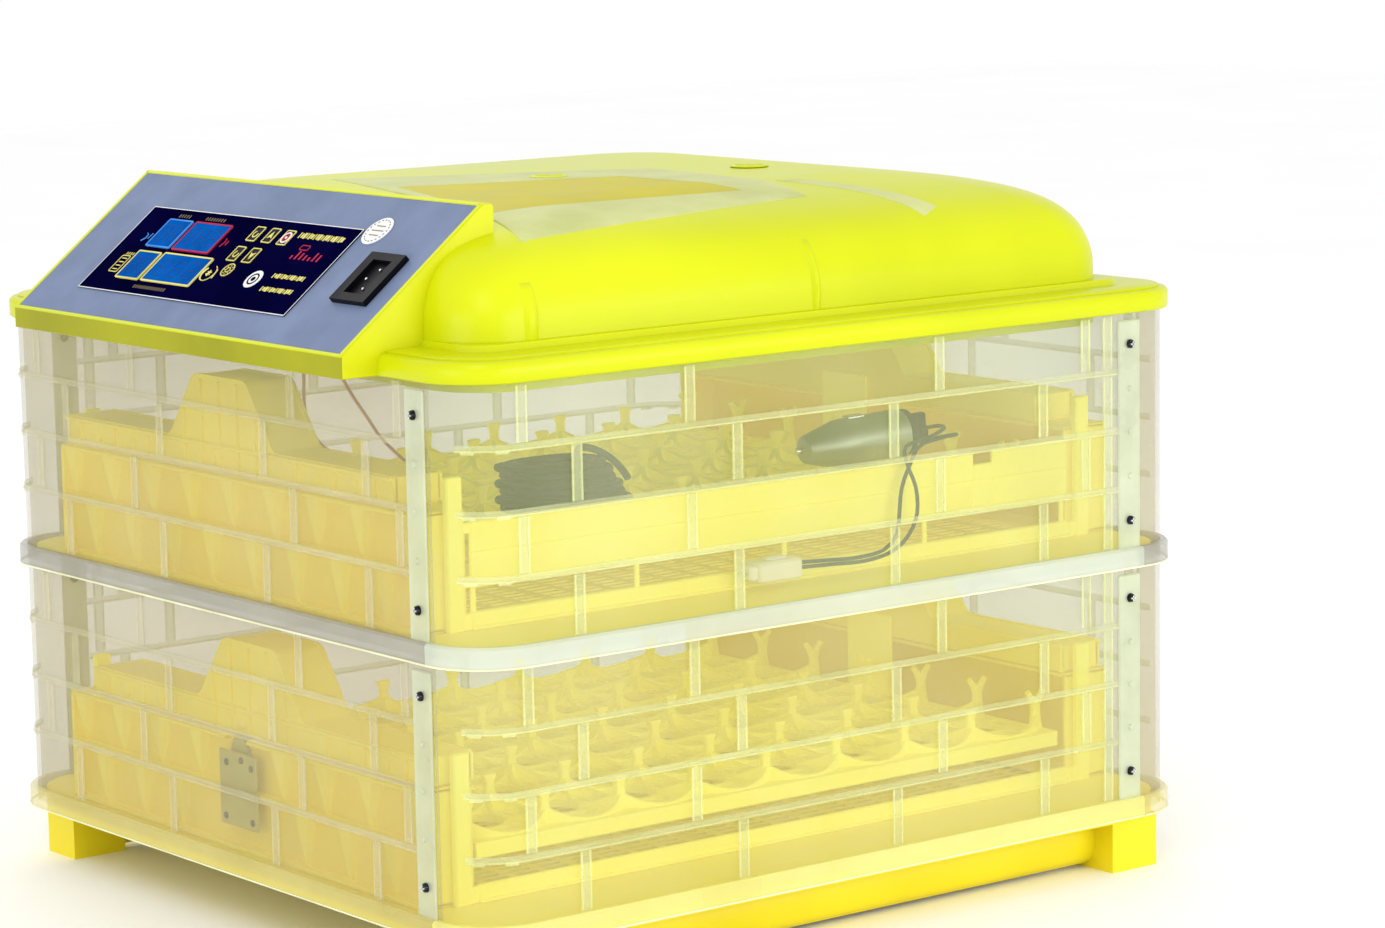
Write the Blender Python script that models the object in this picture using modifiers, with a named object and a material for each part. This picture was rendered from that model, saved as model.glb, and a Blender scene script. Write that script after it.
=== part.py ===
"""Two-storey egg incubator, built as separate named pieces.

Frame: metres, +Z up, origin on the floor at the bottom centre of the whole object.
+X runs to the right along the long front side, which faces -Y.
The sloped control box hangs over the -X end, so the last step moves everything by CENTRE_X.
Until then the pieces are placed about the storeys' own centre.
"""
import math

import bmesh
import bpy
from mathutils import Matrix, Vector

# ---- driving dimensions (metres) ----
WIDTH = 0.500            # storey flange, along X
DEPTH = 0.480            # storey flange, along Y
CORNER_R = 0.037         # flange corner radius
FOOT_H = 0.033           # floor to the lower storey's flange
STOREY_H = 0.143         # height of one storey
FLANGE_H = 0.0115        # flange height
FLANGE_OUT = 0.0045      # flange overhang outside the wall
WALL_T = 0.0025          # wall thickness of the clear panels
GAP = 0.0003             # gap between pieces that touch
STRIP_W = 0.0165         # screw strip width
SEAM = 0.0395            # seam distance from the face's end
LID_Z = FOOT_H + 2 * STOREY_H
LID_T = 0.012            # lid flange height
DOME_X = 0.222           # lid dome half width
DOME_Y = 0.208           # lid dome half depth
DOME_R = 0.034           # lid dome corner radius
SHELL_T = 0.0025         # lid shell thickness
TOP_Z = LID_Z + 0.078    # flat top of the lid
SLOPE_X = -0.2715        # lower edge of the sloped control face
SLOPE_Z = LID_Z + 0.0125
SLOPE_DEG = 38.42        # slope of the control face
CENTRE_X = -(SLOPE_X + WIDTH / 2) / 2
BOX_Y = 0.1665           # control box half width
CELL = 0.050             # egg cell pitch
CELLS_X = 8
CELLS_Y = 6
SHIFT = 0.0105           # tray offset of each storey at rest
BAR_TOP = 0.090          # heights below are above a storey's own bottom edge
WALL_TOP = 0.073
FLOOR_LO = 0.0078
FLOOR_HI = 0.0098
TRAY_LO = 0.036
TRAY_HI = 0.040
POST_TOP = 0.058
HUMP_TOP = 0.126
END_X = 0.240            # outer face of the cradle's end walls
BAR_IN = 0.2053          # inner face of the drive bars
PINION_R = 0.0093
PINION_Z = 0.0645

# ---- clean scene and collections ----
for old in list(bpy.data.objects):
    bpy.data.objects.remove(old, do_unlink=True)
PARTS = bpy.data.collections.new("egg_incubator")
CUTTERS = bpy.data.collections.new("cutters")
bpy.context.scene.collection.children.link(PARTS)
bpy.context.scene.collection.children.link(CUTTERS)


def material(name, rgb, rough, metal=0.0, alpha=1.0):
    mat = bpy.data.materials.new(name)
    mat.use_nodes = True
    shader = mat.node_tree.nodes["Principled BSDF"]
    shader.inputs["Base Color"].default_value = (rgb[0], rgb[1], rgb[2], 1.0)
    shader.inputs["Roughness"].default_value = rough
    shader.inputs["Metallic"].default_value = metal
    shader.inputs["Alpha"].default_value = alpha
    return mat


CLEAR = material("clear_wall", (0.86, 0.88, 0.82), 0.25, 0.0, 0.35)
YELLOW = material("yellow_plastic", (0.92, 0.74, 0.08), 0.45)
LEMON = material("lemon_lid", (0.93, 0.90, 0.03), 0.30)
WINDOW = material("clear_window", (0.85, 0.87, 0.75), 0.20, 0.0, 0.35)
PLATE = material("blue_grey_plate", (0.25, 0.30, 0.42), 0.40)
LABEL = material("navy_label", (0.01, 0.01, 0.06), 0.35)
SCREEN = material("screen_blue", (0.05, 0.30, 0.60), 0.20)
BUTTON = material("button_dark", (0.02, 0.02, 0.05), 0.40)
STICKER = material("white_sticker", (0.88, 0.88, 0.88), 0.50)
BLACK = material("black_plastic", (0.02, 0.02, 0.02), 0.40)
STEEL = material("motor_steel", (0.55, 0.57, 0.55), 0.35, 1.0)
PLATED = material("bracket_steel", (0.45, 0.55, 0.35), 0.40, 1.0)
PCB = material("circuit_green", (0.05, 0.25, 0.10), 0.50)
WIRE = material("black_wire", (0.03, 0.03, 0.04), 0.50)
PINK = material("pink_lead", (0.55, 0.18, 0.20), 0.50)
WHITE = material("white_connector", (0.85, 0.85, 0.78), 0.40)
VENT = material("vent_yellow", (0.88, 0.80, 0.05), 0.40)


def place(obj, mat, cutter=False):
    if mat is not None:
        obj.data.materials.append(mat)
    if cutter:
        CUTTERS.objects.link(obj)
        obj.hide_render = True
        obj.display_type = "WIRE"
    else:
        PARTS.objects.link(obj)
    return obj


def smooth(obj, angle=35.0):
    obj.data.shade_smooth()
    obj.data.set_sharp_from_angle(angle=math.radians(angle))
    return obj


def tool(name):
    """Cutters and joined bodies are named with this prefix."""
    return name.startswith("tool_")


def box(name, lo, hi, mat=None):
    mesh = bpy.data.meshes.new(name)
    bm = bmesh.new()
    bmesh.ops.create_cube(bm, size=1.0)
    size = Vector(hi) - Vector(lo)
    bmesh.ops.scale(bm, vec=size, verts=bm.verts)
    bmesh.ops.translate(bm, vec=size / 2 + Vector(lo), verts=bm.verts)
    bm.to_mesh(mesh)
    bm.free()
    return place(bpy.data.objects.new(name, mesh), mat, tool(name))


def boxes(name, spans, mat=None):
    """Several separate boxes in one mesh, for joining or cutting."""
    mesh = bpy.data.meshes.new(name)
    bm = bmesh.new()
    for lo, hi in spans:
        size = Vector(hi) - Vector(lo)
        made = bmesh.ops.create_cube(bm, size=1.0)["verts"]
        bmesh.ops.scale(bm, vec=size, verts=made)
        bmesh.ops.translate(bm, vec=size / 2 + Vector(lo), verts=made)
    bm.to_mesh(mesh)
    bm.free()
    return place(bpy.data.objects.new(name, mesh), mat, tool(name))


def cylinder(name, radius, lo, hi, mat=None, axis="Z", segs=24):
    """A cylinder from point lo, hi long along the axis."""
    mesh = bpy.data.meshes.new(name)
    bm = bmesh.new()
    bmesh.ops.create_cone(bm, cap_ends=True, segments=segs, radius1=radius,
                          radius2=radius, depth=hi)
    bmesh.ops.translate(bm, vec=(0, 0, hi / 2), verts=bm.verts)
    if axis == "X":
        bmesh.ops.rotate(bm, matrix=Matrix.Rotation(math.radians(90), 3, "Y"), verts=bm.verts)
    if axis == "Y":
        bmesh.ops.rotate(bm, matrix=Matrix.Rotation(math.radians(-90), 3, "X"), verts=bm.verts)
    bm.to_mesh(mesh)
    bm.free()
    obj = place(bpy.data.objects.new(name, mesh), mat, tool(name))
    obj.location = lo
    return smooth(obj)


def prism(name, loops, low, high, mat=None, axis="Z"):
    """Filled 2D outline (with inner loops as holes) drawn out along Z or Y."""
    curve = bpy.data.curves.new(name + "_outline", "CURVE")
    curve.dimensions = "2D"
    curve.fill_mode = "BOTH"
    curve.extrude = (high - low) / 2
    for loop in loops:
        spline = curve.splines.new("POLY")
        spline.points.add(len(loop) - 1)
        for point, (a, b) in zip(spline.points, loop):
            point.co = (a, b, 0.0, 1.0)
        spline.use_cyclic_u = True
    guide = bpy.data.objects.new(name + "_outline", curve)
    CUTTERS.objects.link(guide)
    bpy.context.view_layer.update()
    mesh = bpy.data.meshes.new_from_object(guide)
    bpy.data.objects.remove(guide, do_unlink=True)
    bm = bmesh.new()
    bm.from_mesh(mesh)
    bmesh.ops.remove_doubles(bm, verts=bm.verts, dist=0.00001)
    bmesh.ops.dissolve_limit(bm, angle_limit=0.001, verts=bm.verts, edges=bm.edges)
    bmesh.ops.translate(bm, vec=(0, 0, (high + low) / 2), verts=bm.verts)
    if axis == "Y":
        # outline given as (x, z): stand it up so that the drawing direction is Y
        bmesh.ops.rotate(bm, matrix=Matrix.Rotation(math.radians(90), 3, "X"), verts=bm.verts)
        bmesh.ops.scale(bm, vec=(1, -1, 1), verts=bm.verts)
    bmesh.ops.recalc_face_normals(bm, faces=bm.faces)
    bm.to_mesh(mesh)
    bm.free()
    mesh.name = name
    return smooth(place(bpy.data.objects.new(name, mesh), mat, tool(name)), 25.0)


def loft(name, rings, mat=None):
    """Skin a stack of equal-count rings and close both ends."""
    mesh = bpy.data.meshes.new(name)
    bm = bmesh.new()
    rows = [[bm.verts.new(p) for p in ring] for ring in rings]
    count = len(rows[0])
    for lower, upper in zip(rows, rows[1:]):
        for k in range(count):
            j = (k + 1) % count
            bm.faces.new((lower[k], lower[j], upper[j], upper[k]))
    bm.faces.new(list(reversed(rows[0])))
    bm.faces.new(rows[-1])
    bmesh.ops.recalc_face_normals(bm, faces=bm.faces)
    bm.to_mesh(mesh)
    bm.free()
    return smooth(place(bpy.data.objects.new(name, mesh), mat, tool(name)), 40.0)


def tube(name, points, radius, mat):
    curve = bpy.data.curves.new(name, "CURVE")
    curve.dimensions = "3D"
    curve.bevel_depth = radius
    curve.bevel_resolution = 2
    curve.use_fill_caps = True
    spline = curve.splines.new("POLY")
    spline.points.add(len(points) - 1)
    for point, co in zip(spline.points, points):
        point.co = (co[0], co[1], co[2], 1.0)
    return place(bpy.data.objects.new(name, curve), mat)


def boolean(obj, other, operation):
    mod = obj.modifiers.new(operation.lower(), "BOOLEAN")
    mod.operation = operation
    mod.solver = "EXACT"
    mod.object = other
    return obj


def cut(obj, other):
    return boolean(obj, other, "DIFFERENCE")


def join(obj, other):
    return boolean(obj, other, "UNION")


def rounded(half_x, half_y, radius, steps=6):
    pts = []
    for cx, cy, start in ((1, 1, 0), (-1, 1, 90), (-1, -1, 180), (1, -1, 270)):
        for k in range(steps + 1):
            a = math.radians(start + 90.0 * k / steps)
            pts.append((cx * (half_x - radius) + radius * math.cos(a),
                        cy * (half_y - radius) + radius * math.sin(a)))
    return pts


def lerp_path(points, step):
    """Points along a polyline, smoothed by Catmull-Rom and spaced by step."""
    out = []
    full = [points[0]] + list(points) + [points[-1]]
    for i in range(1, len(full) - 2):
        p0, p1, p2, p3 = (Vector(full[i + d]) for d in (-1, 0, 1, 2))
        n = max(1, int(round((p2 - p1).length / step)))
        for k in range(n):
            t = k / n
            out.append(0.5 * (2 * p1 + (p2 - p0) * t
                              + (2 * p0 - 5 * p1 + 4 * p2 - p3) * t * t
                              + (3 * p1 - p0 - 3 * p2 + p3) * t * t * t))
    out.append(Vector(points[-1]))
    return out


# ---- clear panels: each has one rounded corner and one screw strip ----
def corner_band(half_a, half_b, outer, inner, start, tail):
    """Plan outline of a face along -Y plus its rounded -X end."""
    steps = 6
    pts = [(start, -half_b + outer)]
    for k in range(steps + 1):
        a = math.radians(270.0 - 90.0 * k / steps)
        r = CORNER_R - outer
        pts.append((-half_a + CORNER_R + r * math.cos(a), -half_b + CORNER_R + r * math.sin(a)))
    pts.append((-half_a + outer, -half_b + CORNER_R + tail))
    pts.append((-half_a + inner, -half_b + CORNER_R + tail))
    for k in range(steps, -1, -1):
        a = math.radians(270.0 - 90.0 * k / steps)
        r = CORNER_R - inner
        pts.append((-half_a + CORNER_R + r * math.cos(a), -half_b + CORNER_R + r * math.sin(a)))
    pts.append((start, -half_b + inner))
    return pts


def panel(name, half_a, half_b, z0, turn):
    start = half_a - SEAM
    tail = SEAM - CORNER_R - GAP
    wall = corner_band(half_a, half_b, FLANGE_OUT, FLANGE_OUT + WALL_T, start - 0.0002, tail - 0.0002)
    lip = corner_band(half_a, half_b, 0.0, FLANGE_OUT + WALL_T - 0.0004, start, tail)
    z1 = z0 + STOREY_H - GAP
    obj = prism(name, [wall], z0 + 0.003, z1, CLEAR)
    flange = prism("tool_" + name + "_flange", [lip], z0, z0 + FLANGE_H)
    face = -half_b + FLANGE_OUT
    strip = box("tool_" + name + "_strip", (start - STRIP_W, face - 0.0015, z0 + FLANGE_H - 0.002),
                (start - 0.0001, face + 0.001, z1 - 0.003))
    join(obj, flange)
    join(obj, strip)
    for item in (obj, flange, strip):
        item.rotation_euler = (0.0, 0.0, math.radians(turn))
    return obj


# ---- one storey's fixed inside: floor, end walls, rails ----
def storey(prefix, z0):
    half_x = WIDTH / 2
    half_y = DEPTH / 2
    panel(prefix + "_panel_front", half_x, half_y, z0, 0)
    panel(prefix + "_panel_left", half_y, half_x, z0, -90)
    panel(prefix + "_panel_back", half_x, half_y, z0, 180)
    panel(prefix + "_panel_right", half_y, half_x, z0, 90)

    floor = prism(prefix + "_floor_grille", [rounded(0.2420, 0.2320, 0.033, 4)],
                  z0 + FLOOR_LO, z0 + FLOOR_HI, YELLOW)
    slots = []
    for i in range(4):
        for j in range(8):
            x = (i - 1.5) * 0.098
            y = (j - 3.5) * 0.040
            slots.append(((x - 0.040, y - 0.006, z0), (x + 0.040, y + 0.006, z0 + 0.02)))
    cut(floor, boxes("tool_" + prefix + "_slots", slots))

    for side, s in (("left", -1), ("right", 1)):
        name = prefix + "_end_wall_" + side
        xs = sorted((s * END_X, s * 0.2075))
        wall = box(name, (xs[0], -0.178, z0 + FLOOR_HI + GAP), (xs[1], 0.178, z0 + WALL_TOP), YELLOW)
        xs = sorted((s * (END_X - 0.0025), s * 0.200))
        hollow = box("tool_" + name, (xs[0], -0.175, z0 + FLOOR_HI + 0.0028),
                     (xs[1], 0.175, z0 + WALL_TOP - 0.0025))
        cut(wall, hollow)
    for side, s in (("front", -1), ("back", 1)):
        ys = sorted((s * 0.1815, s * 0.1785))
        box(prefix + "_rail_" + side, (-0.2070, ys[0], z0 + FLOOR_HI + GAP),
            (0.2070, ys[1], z0 + 0.0195), YELLOW)


def turner(prefix, z0, shift):
    """Sliding part of a storey: the egg tray and the two drive bars."""
    half_x = CELLS_X * CELL / 2 + 0.0045
    half_y = CELLS_Y * CELL / 2 + 0.0150
    tray = box(prefix + "_tray", (-half_x, -half_y + shift, z0 + TRAY_LO),
               (half_x, half_y + shift, z0 + TRAY_HI), YELLOW)
    posts = []
    for i in range(CELLS_X + 1):
        for j in range(CELLS_Y + 1):
            x = (i - CELLS_X / 2) * CELL
            y = (j - CELLS_Y / 2) * CELL + shift
            posts.append(((x - 0.0035, y - 0.0035, z0 + TRAY_LO + 0.001),
                          (x + 0.0035, y + 0.0035, z0 + POST_TOP)))
    rims = [((-half_x + 0.0002, -half_y + shift + 0.0002, z0 + 0.031),
             (half_x - 0.0002, -half_y + shift + 0.0024, z0 + TRAY_LO + 0.002)),
            ((-half_x + 0.0002, half_y + shift - 0.0024, z0 + 0.031),
             (half_x - 0.0002, half_y + shift - 0.0002, z0 + TRAY_LO + 0.002))]
    lugs = []
    for s in (-1, 1):
        xs = sorted((s * (half_x - 0.0002), s * (half_x - 0.0020)))
        lugs.append(((xs[0], -0.020 + shift, z0 + TRAY_LO + 0.001),
                     (xs[1], 0.020 + shift, z0 + BAR_TOP - 0.002)))
    holes = bpy.data.meshes.new("tool_" + prefix + "_holes")
    bm = bmesh.new()
    for i in range(CELLS_X):
        for j in range(CELLS_Y):
            made = bmesh.ops.create_cone(bm, cap_ends=True, segments=10, radius1=0.0165,
                                         radius2=0.0165, depth=0.012)["verts"]
            x = (i - CELLS_X / 2 + 0.5) * CELL
            y = (j - CELLS_Y / 2 + 0.5) * CELL + shift
            bmesh.ops.translate(bm, vec=(x, y, z0 + TRAY_LO), verts=made)
    bm.to_mesh(holes)
    bm.free()
    cut(tray, place(bpy.data.objects.new("tool_" + prefix + "_holes", holes), None, True))
    join(tray, boxes("tool_" + prefix + "_posts", posts))
    join(tray, boxes("tool_" + prefix + "_rims", rims))
    join(tray, boxes("tool_" + prefix + "_lugs", lugs))

    for side, s in (("left", -1), ("right", 1)):
        name = prefix + "_drive_bar_" + side
        xs = sorted((s * (END_X - 0.002), s * BAR_IN))
        low = z0 + WALL_TOP + 0.0013
        outline = [(-0.166, low), (0.166, low), (0.166, z0 + BAR_TOP), (0.053, z0 + BAR_TOP),
                   (0.026, z0 + HUMP_TOP), (-0.026, z0 + HUMP_TOP), (-0.053, z0 + BAR_TOP),
                   (-0.166, z0 + BAR_TOP)]
        bar = prism(name, [outline], -xs[1], -xs[0], YELLOW, "Y")
        bar.rotation_euler = (0.0, 0.0, math.radians(90))
        bar.location = (0.0, shift, 0.0)


def motor_drive(prefix, z0):
    motor = cylinder(prefix + "_motor", 0.0235, (-0.2295, 0.0, z0 + 0.0375), 0.018, STEEL, "X", 28)
    cut(motor, box("tool_motor_flat", (-0.24, -0.03, z0 + 0.0), (-0.20, 0.03, z0 + 0.0136)))
    box(prefix + "_motor_bracket", (-0.2420, -0.024, z0 + 0.024), (-0.2403, 0.014, z0 + 0.066), PLATED)
    pinion = cylinder(prefix + "_pinion", PINION_R, (-0.2368, 0.0, z0 + PINION_Z), 0.0062, STEEL, "X", 24)
    cut(bpy.data.objects[prefix + "_end_wall_left"],
        box("tool_pinion_slot", (-0.2370, -0.0115, z0 + 0.069), (-0.2300, 0.0115, z0 + 0.080)))
    return pinion


# ---- base ----
base = prism("base_pan", [rounded(0.2424, 0.2324, 0.0344)], 0.0295, FOOT_H + 0.0075, YELLOW)
cut(base, prism("tool_pan_hollow", [rounded(0.2396, 0.2296, 0.0316)], 0.0322, 0.060))
feet = []
for sx in (-1, 1):
    for sy in (-1, 1):
        xs = sorted((sx * 0.196, sx * 0.230))
        ys = sorted((sy * 0.199, sy * 0.229))
        feet.append(((xs[0], ys[0], 0.0), (xs[1], ys[1], 0.0305)))
join(base, boxes("tool_feet", feet))
skirts = []
for sy in (-1, 1):
    ys = sorted((sy * 0.2045, sy * 0.2080))
    skirts.append(((-0.1970, ys[0], 0.003), (0.1970, ys[1], 0.0303)))
join(base, boxes("tool_skirts", skirts))
ribs = []
for x in (-0.12, 0.0, 0.12):
    ribs.append(((x - 0.0015, -0.2350 + 0.004, 0.0315), (x + 0.0015, 0.2350 - 0.004, FOOT_H + 0.0045)))
join(base, boxes("tool_pan_ribs", ribs))

LOWER = FOOT_H
UPPER = FOOT_H + STOREY_H
storey("lower", LOWER)
turner("lower", LOWER, -SHIFT)
motor_drive("lower", LOWER)
storey("upper", UPPER)
turner("upper", UPPER, SHIFT)

# ---- guard strip in front of the upper tray, with its notch at the right ----
guard = box("upper_guard", (-0.2065, -0.1810, UPPER + 0.0310), (0.2065, -0.1785, UPPER + 0.0670), YELLOW)
cut(guard, box("tool_guard_notch", (0.136, -0.19, UPPER + 0.059), (0.150, -0.17, UPPER + 0.08)))

# ---- loose pieces lying on the upper tray ----
REST = UPPER + POST_TOP + GAP
drum = cylinder("loose_motor", 0.0140, (0.051, -0.135, REST + 0.0142), 0.065, STEEL, "X", 28)
drum.rotation_euler = (0.0, 0.0, math.radians(-6))
bundle_core = box("cord_bundle", (-0.155, -0.157, REST), (-0.071, -0.113, REST + 0.030), BLACK)
bundle_round = bundle_core.modifiers.new("round", "BEVEL")
bundle_round.width = 0.009
bundle_round.segments = 3
bundle_round.limit_method = "ANGLE"
smooth(bundle_core, 50.0)

LEAD_Y = -0.1925
connector = box("motor_connector", (-0.034, -0.2005, UPPER + 0.0142), (-0.002, -0.1845, UPPER + 0.0262), WHITE)
connector_round = connector.modifiers.new("round", "BEVEL")
connector_round.width = 0.0035
connector_round.segments = 2
connector_round.limit_method = "ANGLE"
LEADS = {
    "motor_lead_1": [(0.1185, -0.1400, 0.2500), (0.1300, -0.1420, 0.2520), (0.1360, -0.1500, 0.2540),
                     (0.1310, -0.1620, 0.2545), (0.1120, -0.1720, 0.2525), (0.0880, -0.1790, 0.2500),
                     (0.0815, -0.1875, 0.2420), (0.0850, -0.1905, 0.2290), (0.0840, -0.1925, 0.2150),
                     (0.0770, -0.1935, 0.2040), (0.0650, -0.1940, 0.1965), (0.0450, -0.1945, 0.1935),
                     (0.0200, -0.1945, 0.1945), (-0.0016, -0.1945, 0.1955)],
    "motor_lead_2": [(0.1185, -0.1450, 0.2450), (0.1300, -0.1480, 0.2465), (0.1385, -0.1570, 0.2490),
                     (0.1350, -0.1680, 0.2510), (0.1200, -0.1755, 0.2520), (0.0980, -0.1800, 0.2500),
                     (0.0860, -0.1852, 0.2420), (0.0780, -0.1868, 0.2290), (0.0750, -0.1880, 0.2150),
                     (0.0720, -0.1890, 0.2040), (0.0620, -0.1897, 0.1968), (0.0430, -0.1903, 0.1950),
                     (0.0200, -0.1905, 0.1962), (-0.0016, -0.1905, 0.1975)],
}
for lead, route in LEADS.items():
    tube(lead, lerp_path(route, 0.0050), 0.0011, WIRE)

# ---- lid ----
RINGS = ((LID_Z + 0.006, 0.0), (LID_Z + 0.033, 0.0012), (LID_Z + 0.047, 0.0060), (LID_Z + 0.058, 0.0150),
         (LID_Z + 0.066, 0.0290), (LID_Z + 0.072, 0.0500), (LID_Z + 0.076, 0.0760), (TOP_Z, 0.0980))


def dome(name, offset, drop, mat=None):
    rings = []
    for n, (z, inset) in enumerate(RINGS):
        level = LID_Z - 0.009 if n == 0 and offset > 0 else z - drop
        outline = rounded(DOME_X - inset - offset, DOME_Y - inset - offset, DOME_R - offset)
        rings.append([(x, y, level) for x, y in outline])
    return loft(name, rings, mat)


def slope_point(s, n):
    """Point on the control face: s up the slope, n out of it."""
    a = math.radians(SLOPE_DEG)
    return (SLOPE_X + s * math.cos(a) - n * math.sin(a), SLOPE_Z + s * math.sin(a) + n * math.cos(a))


def on_slope(obj):
    obj.location = (SLOPE_X, 0.0, SLOPE_Z)
    obj.rotation_euler = (0.0, math.radians(-SLOPE_DEG), 0.0)
    return obj


lid = prism("lid_shell", [rounded(WIDTH / 2, DEPTH / 2, CORNER_R)], LID_Z + GAP, LID_Z + LID_T, LEMON)
join(lid, dome("tool_dome_outer", 0.0, 0.0))
peak = slope_point(0.1135, 0.0)
outer = [(SLOPE_X, LID_Z + GAP + 0.0001), (SLOPE_X, SLOPE_Z), peak, (peak[0] + 0.008, peak[1]),
         (-0.1480, LID_Z + 0.0735), (-0.1480, LID_Z + GAP + 0.0001)]
join(lid, prism("tool_box_outer", [outer], -BOX_Y, BOX_Y, None, "Y"))
cut(lid, dome("tool_dome_inner", SHELL_T, SHELL_T))
low_in = slope_point(-0.0014, -0.0058)
high_in = slope_point(0.1065, -0.0058)
inner = [(SLOPE_X + 0.0025, LID_Z + 0.0028), (SLOPE_X + 0.0025, low_in[1] + 0.0002), high_in,
         (peak[0] + 0.006, high_in[1]), (-0.1460, LID_Z + 0.066), (-0.1460, LID_Z - 0.009),
         (-0.2380, LID_Z - 0.009), (-0.2380, LID_Z + 0.0028)]
cut(lid, prism("tool_box_inner", [inner], -BOX_Y + 0.0030, BOX_Y - 0.0030, None, "Y"))
cut(lid, on_slope(box("tool_plate_pocket", (0.0012, -0.1638, -0.0033), (0.1118, 0.1638, 0.010))))

INLET_Y = -0.1340
INLET_S = 0.0515
cut(lid, on_slope(box("tool_inlet_hole", (INLET_S - 0.0146, INLET_Y - 0.0116, -0.020),
                      (INLET_S + 0.0146, INLET_Y + 0.0116, 0.010))))
WIN_OUT = [(-0.118, -0.060), (-0.090, -0.104), (0.030, -0.104), (0.060, -0.060), (0.060, 0.050),
           (0.035, 0.080), (-0.085, 0.080), (-0.118, 0.045)]
WIN_IN = [(-0.078, -0.048), (-0.064, -0.068), (0.008, -0.068), (0.022, -0.048), (0.022, 0.034),
          (0.010, 0.048), (-0.064, 0.048), (-0.078, 0.030)]


def shrunk(loop, amount):
    cx = sum(p[0] for p in loop) / len(loop)
    cy = sum(p[1] for p in loop) / len(loop)
    out = []
    for x, y in loop:
        length = math.hypot(x - cx, y - cy)
        k = 1.0 - amount / length
        out.append((cx + (x - cx) * k, cy + (y - cy) * k))
    return out


cut(lid, prism("tool_window_pocket", [WIN_OUT, WIN_IN], TOP_Z - 0.0015, TOP_Z + 0.004))
prism("lid_window", [shrunk(WIN_OUT, 0.0006), shrunk(WIN_IN, -0.0006)],
      TOP_Z - 0.0012, TOP_Z + 0.0004, WINDOW)

VENTS = (("vent_cap_1", -0.028, -0.010), ("vent_cap_2", 0.092, -0.040))
for name, x, y in VENTS:
    cap = cylinder(name, 0.0110, (x, y, TOP_Z + GAP), 0.0014, VENT, "Z", 28)
    stem = cylinder("tool_" + name + "_stem", 0.0030, (x, y, TOP_Z - 0.006), 0.0070, None, "Z", 16)
    join(cap, stem)
    cut(lid, cylinder("tool_" + name + "_hole", 0.0034, (x, y, TOP_Z - 0.010), 0.020, None, "Z", 16))

# ---- control face ----
plate = on_slope(box("control_plate", (0.0015, -0.1633, -0.0030), (0.1112, 0.1633, 0.0), PLATE))
cut(plate, on_slope(box("tool_plate_hole", (INLET_S - 0.0146, INLET_Y - 0.0116, -0.020),
                        (INLET_S + 0.0146, INLET_Y + 0.0116, 0.010))))
label = on_slope(box("control_label", (0.0200, -0.0897, GAP), (0.0858, 0.1217, 0.0008), LABEL))
KEY_Y = 0.0046           # half width of a key
KEY_S = 0.0058           # half height of a key
KEY_R = 0.0052           # the lamp key is round
WELL = 0.0003            # clearance of a key in its well
BUTTONS = (("button_set", 0.0011, 0.0736), ("button_up", -0.0141, 0.0736), ("button_alarm", -0.0294, 0.0733),
           ("button_reset", 0.0019, 0.0579), ("button_down", -0.0134, 0.0579))
LIGHT_Y = -0.0045
LIGHT_S = 0.0457
pockets = []
for name, y, s in BUTTONS:
    pockets.append(((s - KEY_S - WELL, y - KEY_Y - WELL, -0.0022), (s + KEY_S + WELL, y + KEY_Y + WELL, 0.0040)))
    key = on_slope(box(name, (-KEY_S, -KEY_Y, -0.0012), (KEY_S, KEY_Y, 0.0011), BUTTON))
    x, z = slope_point(s, 0.0)
    key.location = (x, y, z)
well = on_slope(boxes("tool_button_wells", pockets))
light_well = on_slope(cylinder("tool_light_well", KEY_R + WELL, (0, 0, 0), 0.0062, None, "Z", 24))
x, z = slope_point(LIGHT_S, -0.0022)
light_well.location = (x, LIGHT_Y, z)
light_key = on_slope(cylinder("button_light", KEY_R, (0, 0, 0), 0.0023, BUTTON, "Z", 24))
x, z = slope_point(LIGHT_S, -0.0012)
light_key.location = (x, LIGHT_Y, z)
for piece in (plate, label):
    cut(piece, well)
    cut(piece, light_well)
SCREENS = (("screen_humidity", 0.0812, 0.0663, 0.0118, 0.0103), ("screen_temperature", 0.0468, 0.0661, 0.0183, 0.0106),
           ("screen_days", 0.0820, 0.0408, 0.0114, 0.0102), ("screen_timer", 0.0422, 0.0412, 0.0245, 0.0104))
for name, y, s, wide, tall in SCREENS:
    on_slope(box(name, (s - tall, y - wide, 0.0011), (s + tall, y + wide, 0.0015), SCREEN))
sticker = on_slope(cylinder("round_sticker", 0.0100, (0, 0, 0), 0.0004, STICKER, "Z", 28))
x, z = slope_point(0.0861, GAP)
sticker.location = (x, -0.1010, z)

inlet = on_slope(box("power_inlet", (INLET_S - 0.0175, INLET_Y - 0.0155, GAP),
                     (INLET_S + 0.0175, INLET_Y + 0.0155, 0.0034), BLACK))
join(inlet, on_slope(box("tool_inlet_body", (INLET_S - 0.0142, INLET_Y - 0.0112, -0.0190),
                         (INLET_S + 0.0142, INLET_Y + 0.0112, 0.0015))))
cut(inlet, on_slope(box("tool_inlet_socket", (INLET_S - 0.0122, INLET_Y - 0.0084, -0.0160),
                        (INLET_S + 0.0122, INLET_Y + 0.0084, 0.0100))))
pins = []
for ds, dy in ((-0.0070, -0.0020), (0.0070, -0.0020), (0.0, 0.0028)):
    pins.append(((INLET_S + ds - 0.0020, INLET_Y + dy - 0.0010, -0.0170),
                 (INLET_S + ds + 0.0020, INLET_Y + dy + 0.0010, -0.0030)))
join(inlet, on_slope(boxes("tool_inlet_pins", pins)))
box("circuit_board", (-0.2220, -0.0900, LID_Z + 0.0330), (-0.1650, 0.0900, LID_Z + 0.0346), PCB)

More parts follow.
